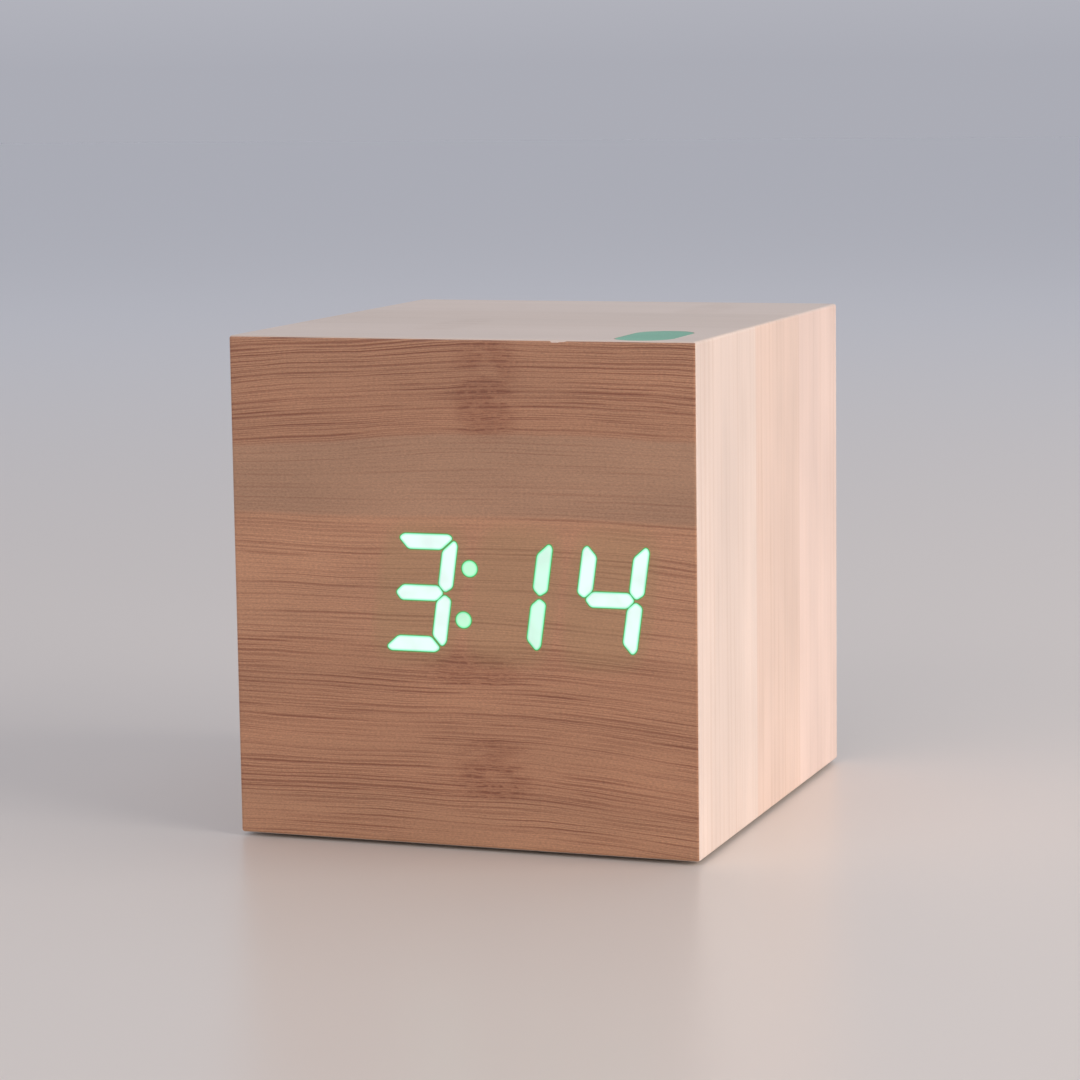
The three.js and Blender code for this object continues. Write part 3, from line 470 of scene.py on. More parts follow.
def makeJacket(name, jacket):
    # a dry cell's printed sleeve: it reads how far along and across the cell a point lies
    material, tree, shader = newMaterial(name)
    along, across, out = (addNode(tree, "ShaderNodeAttribute", attribute_name=n).outputs["Fac"]
                          for n in ("cellAlong", "cellAcross", "cellOut"))
    tone = ramp(tree, calc(tree, "DIVIDE", along, jacket["length"]), jacket["bands"], "CONSTANT")
    across = calc(tree, "ABSOLUTE", across)
    long, thin = jacket["sign"] / 2, jacket["line"] / 2
    strokes = []
    # the plus has both its strokes, the minus only the one that runs round the cell
    plan = ("plusAt", thin, long), ("plusAt", long, thin), ("minusAt", thin, long)
    for place, halfAlong, halfAcross in plan:
        off = calc(tree, "ABSOLUTE", minus(tree, along, jacket[place]))
        strokes.append(times(tree, calc(tree, "LESS_THAN", off, halfAlong),
                            calc(tree, "LESS_THAN", across, halfAcross)))
    ink = calc(tree, "MAXIMUM", calc(tree, "MAXIMUM", strokes[0], strokes[1]), strokes[2])
    ink = times(tree, ink, calc(tree, "GREATER_THAN", out, 0))
    tone = mixColour(tree, ink, tone, jacket["ink"])
    wear = noise(tree, objectPoint(tree), scale=700, detail=3)
    rough = remap(tree, wear, 0.3, 0.7, 0.24, 0.36, smooth=False)
    feed(tree, shader, {"Base Color": tone, "Roughness": rough, "Coat Weight": 0.5})
    return material


cellJacket = {
    "length": 44.5 * mm, "plusAt": 38.6 * mm, "minusAt": 6.0 * mm, "sign": 2.4 * mm, "line": 0.55 * mm,
    "bands": [(0.0, (0.055, 0.115, 0.165)), (0.735, (0.62, 0.63, 0.64)), (0.757, (0.055, 0.115, 0.165)),
              (0.775, (0.16, 0.42, 0.40))],
    "ink": (0.82, 0.83, 0.83),
}


def makeBoardWood(name, colour, fleck, scale):
    material, tree, shader = newMaterial(name)
    cells = noise(tree, objectPoint(tree), scale=scale, detail=4, roughness=0.7)
    tone = mixColour(tree, remap(tree, cells, 0.35, 0.68), colour, fleck)
    feed(tree, shader, {"Base Color": tone, "Roughness": 0.85, "Normal": bump(tree, cells, 0.4, 0.1 * mm)})
    return material


materials = {
    "front": makeBamboo("bambooFrontShaded", shadedFrontBamboo),
    "side": makeBamboo("bambooSideLit", litSideBamboo),
    "top": makeBamboo("bambooTopSheen", sheenTopBamboo),
    "rear": makeBamboo("bambooRear", rearBamboo),
    "glowWhite": makeGlow("lightWhite", glowTones["white"]),
    "glowMint": makeGlow("lightMint", glowTones["mint"]),
    "glowGreen": makeGlow("lightGreen", glowTones["green"]),
    "black": makePlastic("mouldedBlack", (0.018, 0.018, 0.020), 0.46, grain=0.5, grainScale=5200),
    "key": makePlastic("keyBlack", (0.030, 0.030, 0.033), 0.38, grain=0.15, grainScale=8000),
    "white": makePlastic("plungerWhite", (0.80, 0.80, 0.77), 0.35),
    "mask": makePlastic("maskBlack", (0.02, 0.022, 0.025), 0.6, grain=0.3),
    "film": makePlastic("milkyFilm", (0.86, 0.86, 0.83), 0.3),
    "mainBoard": makeBoard("mainBoardMask", *boards["main"]),
    "displayBoard": makeBoard("displayBoardMask", *boards["display"]),
    "jacket": makeJacket("cellJacket", cellJacket),
    "steel": makeMetal("nickelSteel", (0.66, 0.65, 0.62), 0.25),
    "zinc": makeMetal("zincSteel", (0.56, 0.58, 0.60), 0.34),
    "brass": makeMetal("brassPin", (0.80, 0.58, 0.27), 0.25),
    "ribbon": makePlastic("ribbonGrey", (0.42, 0.43, 0.44), 0.4),
    "redWire": makePlastic("leadRed", (0.50, 0.015, 0.012), 0.35),
    "blackWire": makePlastic("leadBlack", (0.012, 0.012, 0.012), 0.35),
    "rubber": makePlastic("padRubber", (0.020, 0.020, 0.020), 0.8, grain=0.6, grainScale=3000),
    "mark": makePlastic("markGreen", (0.122, 0.385, 0.250), 0.38, grain=0.1),
    "print": makePlastic("printWhite", (0.72, 0.72, 0.70), 0.5),
    "fibre": makeBoardWood("fibreboard", (0.34, 0.21, 0.115), (0.22, 0.13, 0.07), 1900),
    "pine": makeBoardWood("pineBlock", (0.66, 0.46, 0.26), (0.55, 0.34, 0.17), 700),
}
print("materials made,", len(materials))


flatArea = 9 * mm * mm  # a face wider than this is plane, so its shade doesn't bend at its rounded edges


def finishPiece(bm, name, material, body, replaced=(), smoothAngle=30):
    mesh = bpy.data.meshes.new(name)
    bm.to_mesh(mesh)
    wide = [f.index for f in bm.faces if f.calc_area() > flatArea]
    bm.free()
    piece = bpy.data.objects.new(name, mesh)
    scene.collection.objects.link(piece)
    for entry in material.split():
        mesh.materials.append(materials[entry])
    mesh.shade_smooth()
    mesh.set_sharp_from_angle(angle=math.radians(smoothAngle))
    for index in wide:
        mesh.polygons[index].use_smooth = False
    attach(piece, body)
    if replaced:
        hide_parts(*replaced)
    return piece


def finishNode(bm, node, material, body="case", smoothAngle=30):
    # the fine piece that stands in for a CAD node
    return finishPiece(bm, node + "_fine", material, body, [node], smoothAngle)


def middleOf(low, high):
    return (low.x + high.x) / 2, (low.z + high.z) / 2


def bevelEdges(bm, edges, width, segments=3):
    bmesh.ops.bevel(bm, geom=edges, offset=width, segments=segments, profile=0.5, affect="EDGES", material=-1,
                    clamp_overlap=True)


def sharpEdges(bm, angle=30):
    limit = math.radians(angle)
    return [e for e in bm.edges if len(e.link_faces) == 2 and e.calc_face_angle(0) > limit]


def boxMesh(low, high):
    bm = bmesh.new()
    bmesh.ops.create_cube(bm, size=1)
    size = Vector(high) - Vector(low)
    bmesh.ops.scale(bm, vec=size, verts=bm.verts)
    bmesh.ops.translate(bm, vec=(Vector(high) + Vector(low)) / 2, verts=bm.verts)
    return bm


def nodeMesh(*nodes):
    # a welded copy of CAD nodes, with their flat faces whole again
    bm = bmesh.new()
    for node in nodes:
        bm.from_mesh(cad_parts[node].data)
    bmesh.ops.remove_doubles(bm, verts=bm.verts, dist=0.002 * mm)
    bmesh.ops.dissolve_limit(bm, angle_limit=math.radians(0.5), verts=bm.verts, edges=bm.edges)
    return bm


case = {
    "edgeRadius": 0.42 * mm, "edgeSteps": 6, "veneer": 0.5 * mm, "lightDepth": 0.02 * mm,
    "openingGap": 0.2 * mm, "markGap": 0.1 * mm, "markBevel": 0.06 * mm, "seatRise": 0.6 * mm,
}


def roundedBlock():
    # the front lies a hair behind the lit faces
    bm = boxMesh(caseLow + Vector((0, case["lightDepth"], 0)), caseHigh)
    bevelEdges(bm, bm.edges[:], case["edgeRadius"], case["edgeSteps"])
    return bm


def keepBehind(bm, point, outward):
    # cuts the solid with a plane, drops what lies outside, and closes the cut
    cut = bmesh.ops.bisect_plane(bm, geom=bm.verts[:] + bm.edges[:] + bm.faces[:], dist=1e-8, plane_co=point,
                                 plane_no=outward, clear_outer=True, clear_inner=False)
    edges = [g for g in cut["geom_cut"] if isinstance(g, bmesh.types.BMEdge)]
    if edges:
        bmesh.ops.contextual_create(bm, geom=edges)


def veneerMesh(axis, side):
    bm = roundedBlock()
    outward = Vector((0, 0, 0))
    outward[axis] = side
    face = Vector(caseHigh if side > 0 else caseLow)
    if axis == 1 and side < 0:
        face.y += case["lightDepth"]
    for other in range(3):
        if other == axis:
            continue
        for direction in (-1, 1):
            neighbour = Vector((0, 0, 0))
            neighbour[other] = direction
            corner = face.copy()
            corner[other] = (caseHigh if direction > 0 else caseLow)[other]
            keepBehind(bm, corner, (neighbour - outward).normalized())
    keepBehind(bm, face - case["veneer"] * outward, -outward)
    bmesh.ops.recalc_face_normals(bm, faces=bm.faces)
    return bm


def cutAway(piece, cutter):
    mesh = bpy.data.meshes.new("cutter")
    cutter.to_mesh(mesh)
    cutter.free()
    tool = bpy.data.objects.new("cutter", mesh)
    scene.collection.objects.link(tool)
    modifier = piece.modifiers.new("cut", "BOOLEAN")
    modifier.object = tool
    modifier.operation = "DIFFERENCE"
    modifier.solver = "EXACT"
    bpy.context.view_layer.update()
    result = bpy.data.meshes.new_from_object(piece.evaluated_get(bpy.context.evaluated_depsgraph_get()))
    piece.modifiers.clear()
    piece.data = result
    bpy.data.objects.remove(tool)


def makeCase():
    sides = {
        "front_veneer": (1, -1, "front"), "left_veneer": (0, -1, "side"), "right_veneer": (0, 1, "side"),
        "bottom_veneer": (2, -1, "top"), "top_veneer": (2, 1, "top"), "rear_edge_band": (1, 1, "rear"),
    }
    pieces = {}
    for node, (axis, side, material) in sides.items():
        pieces[node] = finishNode(veneerMesh(axis, side), node, material)
    low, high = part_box("rear_cover")
    gap = case["openingGap"]
    opening = boxMesh((low.x - gap, 0, low.z - gap), (high.x + gap, high.y * 2, high.z + gap))
    cutAway(pieces["rear_edge_band"], opening)
    low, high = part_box("top_mark")
    thickness = high.z - low.z
    cutAway(pieces["top_veneer"], markMesh(case["markGap"], thickness + case["seatRise"], 0))
    mark = markMesh(0, thickness, case["markBevel"])
    finishPiece(mark, "mark_fine", "mark", "case", ["top_mark"])


def markMesh(gap, thickness, bevel):
    # the plain green pill let into the top, or its seat when it is grown by a gap
    low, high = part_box("top_mark")
    centre = (low + high) / 2
    radius = (high.x - low.x) / 2
    reach = (high.y - low.y) / 2 - radius
    bm = bmesh.new()
    bmesh.ops.create_cone(bm, cap_ends=True, segments=96, radius1=radius + gap, radius2=radius + gap,
                          depth=thickness)
    for side in (-1, 1):
        end = [v for v in bm.verts if side * v.co.y > 1e-9]
        bmesh.ops.translate(bm, vec=(0, side * reach, 0), verts=end)
    bmesh.ops.translate(bm, vec=(centre.x, centre.y, low.z + thickness / 2), verts=bm.verts)
    if bevel:
        rim = [e for e in sharpEdges(bm) if e.verts[0].co.z > centre.z and e.verts[1].co.z > centre.z]
        bevelEdges(bm, rim, bevel, 3)
    return bm


def flipped(points, x, z):
    return [(x * px, z * pz) for px, pz in reversed(points)]


def segmentOutlines():
    half = digits["stroke"] / 2
    gap, corner = digits["gap"], digits["corner"]
    outerX, outerZ = digits["width"] / 2, digits["height"] / 2
    nodeX, nodeZ = outerX - half, outerZ - half
    top = [(outerX - corner, outerZ), (outerX - corner / 2 - gap, outerZ - corner / 2 + gap),
           (nodeX - half - 2 * gap, nodeZ - half)]
    topBar = flipped(top, -1, 1) + top
    upperRight = [(outerX - corner / 2 + gap, outerZ - corner / 2 - gap), (outerX, outerZ - corner),
                  (outerX, 0.7 * half + gap), (nodeX, 1.4 * gap), (nodeX - half, half + gap),
                  (nodeX - half, nodeZ - half - 2 * gap)]
    middle = [(nodeX - 1.4 * gap, 0), (nodeX - half, -half), (half - nodeX, -half), (1.4 * gap - nodeX, 0),
              (half - nodeX, half), (nodeX - half, half)]
    lowerRight, upperLeft = flipped(upperRight, 1, -1), flipped(upperRight, -1, 1)
    lowerLeft = flipped(lowerRight, -1, 1)
    shapes = [topBar, upperRight, lowerRight, flipped(topBar, 1, -1), lowerLeft, upperLeft, middle]
    return dict(zip(segmentNames, shapes))


def litFace(bm, points):
    verts = [bm.verts.new((x, digits["face"], z)) for x, z in points]
    face = bm.faces.new(verts)
    face.normal_update()
    if face.normal.y > 0:
        face.normal_flip()
    return face


def addRings(bm, glow, faces):
    # the light gets whiter towards the middle of each lit area
    for face in faces:
        for vert in face.verts:
            vert[glow] = glowTones["edgePlace"]
        for level in (glowTones["innerPlace"], 1.0):
            bmesh.ops.inset_individual(bm, faces=[face], thickness=digits["fade"], use_even_offset=True)
            for vert in face.verts:
                vert[glow] = level
        fan = bmesh.ops.poke(bm, faces=[face])
        for vert in fan["verts"]:
            vert[glow] = 1.0


def addRim(bm, glow, face):
    # the green rim round a lit area, let in a hair behind it
    inner = face.verts[:]
    outer = []
    for i, vert in enumerate(inner):
        before = (vert.co - inner[i - 1].co).cross(face.normal).normalized()
        after = (inner[(i + 1) % len(inner)].co - vert.co).cross(face.normal).normalized()
        away = (before + after) / (1 + before.dot(after))
        outer.append(bm.verts.new(vert.co + away * digits["rim"] + Vector((0, digits["letIn"], 0))))
        outer[-1][glow] = glowTones["outerPlace"]
    for i, vert in enumerate(inner):
        bm.faces.new((vert, inner[i - 1], outer[i - 1], outer[i]))


def litMesh(outlines, rounding):
    bm = bmesh.new()
    glow = bm.verts.layers.float.new("glow")
    for points in outlines:
        litFace(bm, points)
    if rounding:
        bmesh.ops.bevel(bm, geom=bm.verts[:], offset=rounding, segments=4, profile=0.5, affect="VERTICES",
                        material=-1, clamp_overlap=True)
        bmesh.ops.remove_doubles(bm, verts=bm.verts, dist=0.01 * mm)
    bm.normal_update()
    faces = bm.faces[:]
    for face in faces:
        addRim(bm, glow, face)
    addRings(bm, glow, faces)
    bmesh.ops.recalc_face_normals(bm, faces=bm.faces)
    if sum(f.normal.y * f.calc_area() for f in bm.faces) > 0:
        bmesh.ops.reverse_faces(bm, faces=bm.faces)
    backed = bmesh.ops.extrude_face_region(bm, geom=bm.faces[:])
    moved = [g for g in backed["geom"] if isinstance(g, bmesh.types.BMVert)]
    bmesh.ops.translate(bm, verts=moved, vec=(0, digits["thickness"], 0))
    bmesh.ops.recalc_face_normals(bm, faces=bm.faces)
    return bm


def onFace(points, centreX):
    return [(displayX + centreX + x + digits["slant"] * z, displayZ + z) for x, z in points]


def makeDigits():
    outlines = segmentOutlines()
    for index, (name, lit, material) in shownDigits.items():
        centreX = (index - 1.5) * digits["pitch"]
        shapes = [onFace(outlines[segment], centreX) for segment in lit]
        finishPiece(litMesh(shapes, digits["rounding"]), name, material, "case")
    steps, radius, rise = digits["dotSteps"], digits["colonRadius"], digits["colonSpacing"] / 2
    for name, side in (("colon_upper", 1), ("colon_lower", -1)):
        x, z = displayX + side * digits["slant"] * rise, displayZ + side * rise
        turns = [math.tau * i / steps for i in range(steps)]
        dot = [(x + radius * math.cos(a), z + radius * math.sin(a)) for a in turns]
        finishPiece(litMesh([dot], 0), name, "glowGreen", "case")


view = {"azimuth": 19.69, "elevation": 7.90, "roll": -0.80, "distance": 482.77 * mm, "across": -1.348 * mm,
        "rise": 2.816 * mm, "focal": 114.33}


studio = {
    # the floor is painted paler away from the clock: painted light for the far floor, which the softboxes
    # hardly reach, so it meets the sky; the warm near tone stands for a wooden table
    "floorNear": (0.70, 0.645, 0.60), "floorFar": (0.88, 0.88, 0.90), "paleFrom": 0.15, "paleTo": 1.1,
    "sky": [(0.0, (0.463, 0.470, 0.528)), (0.10, (0.58, 0.585, 0.64)), (0.35, (0.60, 0.61, 0.68)),
            (1.0, (0.42, 0.43, 0.48))],
    "skyStrength": 0.88, "floorSize": 4, "floorRoughness": 0.32, "aim": (0, 0, 0.035),
    "softboxes": {
        "windowRight": ((0.75, -0.06, 0.26), (0.7, 0.8), 6.4, (1.0, 0.93, 0.87)),
        "fillFront": ((-0.25, -0.9, 0.45), (0.9, 0.7), 2.4, (1.0, 0.92, 0.86)),
        "overhead": ((0.0, 0.25, 0.85), (0.8, 0.8), 1.3, (0.94, 0.96, 1.0)),
    },
}


def makeCamera():
    azimuth, elevation, roll = (math.radians(view[k]) for k in ("azimuth", "elevation", "roll"))
    back = Vector((math.sin(azimuth) * math.cos(elevation), -math.cos(azimuth) * math.cos(elevation),
                   math.sin(elevation)))
    right = (-back).cross(Vector((0, 0, 1))).normalized()
    up = right.cross(-back)
    turnedRight = math.cos(roll) * right + math.sin(roll) * up
    turnedUp = -math.sin(roll) * right + math.cos(roll) * up
    middle = Vector((0, 0, highCorner.z / 2))
    data = bpy.data.cameras.new("camera")
    data.lens = view["focal"]
    data.sensor_width = 36
    camera = bpy.data.objects.new("camera", data)
    place = middle + turnedRight * view["across"] + turnedUp * view["rise"] + back * view["distance"]
    camera.matrix_world = Matrix((
        (turnedRight.x, turnedUp.x, back.x, place.x), (turnedRight.y, turnedUp.y, back.y, place.y),
        (turnedRight.z, turnedUp.z, back.z, place.z), (0, 0, 0, 1)))
    scene.collection.objects.link(camera)
    scene.camera = camera


def addSoftbox(name, place, size, power, colour):
    data = bpy.data.lights.new(name, "AREA")
    data.shape = "RECTANGLE"
    data.size, data.size_y = size
    data.energy = power
    data.color = colour
    lamp = bpy.data.objects.new(name, data)
    lamp.location = place
    lamp.rotation_euler = (Vector(place) - Vector(studio["aim"])).to_track_quat("Z", "Y").to_euler()
    scene.collection.objects.link(lamp)


def makeStudio():
    bm = bmesh.new()
    bmesh.ops.create_grid(bm, x_segments=1, y_segments=1, size=studio["floorSize"])
    mesh = bpy.data.meshes.new("floor")
    bm.to_mesh(mesh)
    bm.free()
    floor = bpy.data.objects.new("floor", mesh)
    scene.collection.objects.link(floor)
    material, tree, shader = newMaterial("floorPale")
    away = addNode(tree, "ShaderNodeVectorMath", {0: objectPoint(tree)}, operation="LENGTH").outputs["Value"]
    # painted light: paler away from the clock
    tone = ramp(tree, remap(tree, away, studio["paleFrom"], studio["paleTo"]),
                [(0.0, studio["floorNear"]), (1.0, studio["floorFar"])])
    feed(tree, shader, {"Base Color": tone, "Roughness": studio["floorRoughness"]})
    mesh.materials.append(material)

    world = bpy.data.worlds.new("studio")
    scene.world = world
    world.use_nodes = True
    tree = world.node_tree
    direction = addNode(tree, "ShaderNodeTexCoord").outputs["Generated"]
    rise = addNode(tree, "ShaderNodeSeparateXYZ", {0: direction}).outputs[2]
    tone = ramp(tree, remap(tree, rise, 0.0, 0.6, smooth=False), studio["sky"])
    feed(tree, tree.nodes["Background"], {"Color": tone, "Strength": studio["skyStrength"]})

    for name, settings in studio["softboxes"].items():
        addSoftbox(name, *settings)


makeCamera()
makeStudio()
print("camera and studio made")
makeCase()
print("case made")
makeDigits()
print("digits made")


def softNode(name, body, width, behind):
    # a moulding from the CAD with its sharp edges broken, where they lie behind the given place
    bm = nodeMesh(name)
    bevelEdges(bm, [e for e in sharpEdges(bm, 40) if min(v.co.y for v in e.verts) > behind], width)
    bmesh.ops.remove_doubles(bm, verts=bm.verts, dist=0.002 * mm)
    finishNode(bm, name, "black", body, smoothAngle=35)


cover = {"bevel": 0.22 * mm, "doorBevel": 0.18 * mm, "faceDepth": 0.01 * mm}


def makeCover():
    # the cover and its door are broken only along the edges of their outer face
    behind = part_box("battery_door")[1].y - cover["faceDepth"]
    softNode("rear_cover", "case", cover["bevel"], behind)
    softNode("battery_door", "battery_door", cover["doorBevel"], behind)


def spunMesh(profile, centre, steps=64):
    # turns [radius, y] points round the Y axis through the centre
    bm = bmesh.new()
    verts = [bm.verts.new((centre[0] + radius, y, centre[1])) for radius, y in profile]
    for a, b in zip(verts, verts[1:]):
        bm.edges.new((a, b))
    bmesh.ops.spin(bm, geom=bm.verts[:] + bm.edges[:], angle=math.tau, steps=steps, axis=(0, 1, 0),
                   cent=(centre[0], 0, centre[1]), use_merge=True)
    bmesh.ops.remove_doubles(bm, verts=bm.verts, dist=0.001 * mm)
    bmesh.ops.recalc_face_normals(bm, faces=bm.faces)
    return bm


def arcPoints(centre, radius, start, end, steps=6):
    # a quarter or so of a circle in a [radius, y] profile
    angles = [math.radians(start + (end - start) * i / steps) for i in range(steps + 1)]
    return [(centre[0] + radius * math.cos(a), centre[1] + radius * math.sin(a)) for a in angles]


keys = {
    "radius": 3.0 * mm, "bevel": 0.35 * mm, "dish": 0.30 * mm, "dishRadius": 2.35 * mm,
    "flangeDepth": 2.6 * mm,  # from the cover's face to the flange, which lies just inside the cover
}


def makeKeys():
    radius, bevel = keys["radius"], keys["bevel"]
    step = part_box("rear_cover")[1].y - keys["flangeDepth"]
    for body in ("set_key", "up_key", "down_key"):
        low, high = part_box(body)
        flange = (high.x - low.x) / 2
        profile = [(0, low.y), (flange, low.y), (flange, step), (radius, step)]
        profile += arcPoints((radius - bevel, high.y - bevel), bevel, 0, 90)
        profile += [(keys["dishRadius"] * math.sin(a), high.y - keys["dish"] * math.cos(a) ** 2)
                    for a in map(math.radians, (75, 60, 45, 30, 15, 0))]
        bm = spunMesh(profile, middleOf(low, high))
        finishNode(bm, body, "key", body, smoothAngle=50)


knob = {"bevel": 0.22 * mm, "grooves": 3, "grooveDepth": 0.16 * mm, "grooveWidth": 0.30 * mm}


def makeKnob():
    low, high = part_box("slide_switch_knob")
    bm = boxMesh(low, high)
    top = [e for e in bm.edges if min(v.co.y for v in e.verts) > high.y - 1e-6]
    long = [e for e in bm.edges if abs(e.verts[0].co.y - e.verts[1].co.y) > 1 * mm]
    bevelEdges(bm, top + long, knob["bevel"], 4)
    piece = finishNode(bm, "slide_switch_knob", "key", "slide_knob")
    pitch, half = (high.x - low.x) / (knob["grooves"] + 1), knob["grooveWidth"] / 2
    floor = high.y - knob["grooveDepth"]
    for i in range(knob["grooves"]):
        x = low.x + pitch * (i + 1)
        cutAway(piece, boxMesh((x - half, floor, low.z - mm), (x + half, high.y + mm, high.z + mm)))


# depths are from the socket's outer face
socket = {
    "bevel": 0.12 * mm, "bevelDepth": 1.6 * mm, "pinRadius": 0.57 * mm, "pinTip": 1.45 * mm,
    "pinRoot": 7.2 * mm,
}


def makeSocket():
    low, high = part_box("power_socket")
    softNode("power_socket", "case", socket["bevel"], high.y - socket["bevelDepth"])
    radius, tip, root = socket["pinRadius"], high.y - socket["pinTip"], high.y - socket["pinRoot"]
    profile = [(0, root), (radius, root)] + arcPoints((0, tip - radius), radius, 0, 90)
    finishPiece(spunMesh(profile, middleOf(low, high), 32), "socket_pin", "brass", "case")


feet = {"bevel": 0.16 * mm, "steps": 72}


def makeFeet():
    for name in [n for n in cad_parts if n.startswith("foot_")]:
        low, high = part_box(name)
        bm = bmesh.new()
        radius = (high.x - low.x) / 2
        bmesh.ops.create_cone(bm, cap_ends=True, segments=feet["steps"], radius1=radius, radius2=radius,
                              depth=high.z - low.z)
        bmesh.ops.translate(bm, vec=(low + high) / 2, verts=bm.verts)
        bevelEdges(bm, sharpEdges(bm), feet["bevel"], 4)
        finishNode(bm, name, "rubber")


# The printed signs: sizes, and the parts of each sign as shares of a sign's size.
signs = {
    "coat": 0.012 * mm, "standOff": 0.002 * mm, "size": 1.0 * mm, "line": 0.24 * mm, "overKeys": 1.5 * mm,
    "upHand": 0.56, "sideHand": 0.5, "arrowFoot": 0.6, "arrowTip": 0.8,
    "ringRadius": 0.62, "ringLine": 0.3, "quietRing": 0.55, "ringsApart": 3.2 * mm, "knobThrow": 2 * mm,
    "fromSocket": 2.0 * mm, "linesApart": 0.8 * mm, "fullLine": 2.0, "dash": 0.45, "dashPitch": 0.75,
}


def flatShape(bm, points):
    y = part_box("battery_door")[1].y + signs["standOff"]
    face = bm.faces.new([bm.verts.new((x, y, z)) for x, z in points])
    face.normal_update()
    if face.normal.y < 0:
        face.normal_flip()
    return face


def ringShape(bm, x, z, radius, line, steps=48):
    turns = [math.tau * i / steps for i in range(steps)]
    face = flatShape(bm, [(x + radius * math.cos(a), z + radius * math.sin(a)) for a in turns])
    bmesh.ops.inset_individual(bm, faces=[face], thickness=line, use_even_offset=True)
    bmesh.ops.delete(bm, geom=[face], context="FACES")


def barShape(bm, x, z, width, height):
    corners = ((-1, -1), (1, -1), (1, 1), (-1, 1))
    flatShape(bm, [(x + i * width / 2, z + k * height / 2) for i, k in corners])


def makePrint():
    # plain signs over the keys, the switch and the socket: a dial, arrows, sound and direct current
    size, line = signs["size"], signs["line"]
    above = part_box("set_key")[1].z + signs["overKeys"]
    bm = bmesh.new()
    x, _ = middleOf(*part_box("set_key"))
    upHand, sideHand = signs["upHand"] * size, signs["sideHand"] * size
    ringShape(bm, x, above, size, line)
    barShape(bm, x, above + upHand / 2, line, upHand)
    barShape(bm, x - sideHand / 2, above, sideHand, line)
    for name, up in (("up_key", size), ("down_key", -size)):
        x, _ = middleOf(*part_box(name))
        foot = above - signs["arrowFoot"] * up
        flatShape(bm, [(x - size, foot), (x + size, foot), (x, above + signs["arrowTip"] * up)])
    x, _ = middleOf(*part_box("slide_switch_knob"))
    slot = x + signs["knobThrow"] / 2
    for side, level in ((-1, signs["quietRing"] * size), (1, size)):
        ringShape(bm, slot + side * signs["ringsApart"] / 2, above, level * signs["ringRadius"],
                  level * signs["ringLine"])
    low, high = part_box("power_socket")
    x, (_, z) = low.x - signs["fromSocket"], middleOf(low, high)
    barShape(bm, x, z + signs["linesApart"] / 2, signs["fullLine"] * size, line)
    for place in (-signs["dashPitch"], 0, signs["dashPitch"]):
        barShape(bm, x + place * size, z - signs["linesApart"] / 2, signs["dash"] * size, line)

    # a thin coat of ink, standing off the face under it
    grown = bmesh.ops.extrude_face_region(bm, geom=bm.faces[:])
    moved = [g for g in grown["geom"] if isinstance(g, bmesh.types.BMVert)]
    bmesh.ops.translate(bm, verts=moved, vec=(0, signs["coat"], 0))
    bmesh.ops.recalc_face_normals(bm, faces=bm.faces)
    finishPiece(bm, "printed_signs", "print", "case")


screws = {
    "cover": (1.0 * mm, 1.15 * mm), "display": (0.9 * mm, 0.8 * mm),  # head's height, shank's radius
    "thread": 0.14 * mm, "threadPitch": 0.55 * mm,
    "point": 1.5, "threadFlank": 0.4,  # as shares of the shank's radius and of the thread's pitch
    # as shares of the head: its straight rim, how far its round edge comes in, and the cross recess
    "rim": 0.5, "roundEdge": 0.35, "recess": 0.60, "recessLine": 0.19, "recessDepth": 0.8,
}


def makeScrews():
    # pan heads with a cross recess, on a threaded shank
    for name in [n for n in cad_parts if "_screw_" in n]:
        low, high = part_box(name)
        x, z = middleOf(low, high)
        height, shank = screws["cover" if name.startswith("cover") else "display"]
        head, core = (high.x - low.x) / 2, shank - screws["thread"]
        seat, start = high.y - height, low.y + screws["point"] * shank
        profile = [(0, low.y), (core, start)]
        for i in range(int((seat - start) / screws["threadPitch"])):
            crest = start + (i + 0.5) * screws["threadPitch"]
            profile += [(shank, crest), (core, crest + screws["threadFlank"] * screws["threadPitch"])]
        curve = height * (1 - screws["rim"])
        profile += [(core, seat), (head, seat), (head, high.y - curve)]
        inward, top = screws["roundEdge"] * head, high.y - curve
        profile += [(head - inward * (1 - math.cos(a)), top + curve * math.sin(a))
                    for a in map(math.radians, range(15, 91, 15))]
        profile.append((0, high.y))
        piece = finishNode(spunMesh(profile, (x, z), 48), name, "zinc")
        floor = high.y - screws["recessDepth"] * height
        long, thin = screws["recess"] * head, screws["recessLine"] * head
        for dx, dz in ((long, thin), (thin, long)):
            cutAway(piece, boxMesh((x - dx, floor, z - dz), (x + dx, high.y + mm, z + dz)))


cellShape = {
    "base": 3.2 * mm, "roll": 0.3 * mm,  # the steel disc at the negative end, the round edge of both ends
    "lipIn": 0.75 * mm, "lipAt": 0.34 * mm, "lipTop": 0.85 * mm, "lipRound": 0.5 * mm,
    "shoulderDrop": 0.85 * mm, "shoulderRound": 0.8 * mm, "button": 0.8 * mm, "buttonRadius": 1.85 * mm,
    "washerIn": 1.1 * mm, "washerDrop": 0.12 * mm, "sleeveFrom": 3.6 * mm,
}


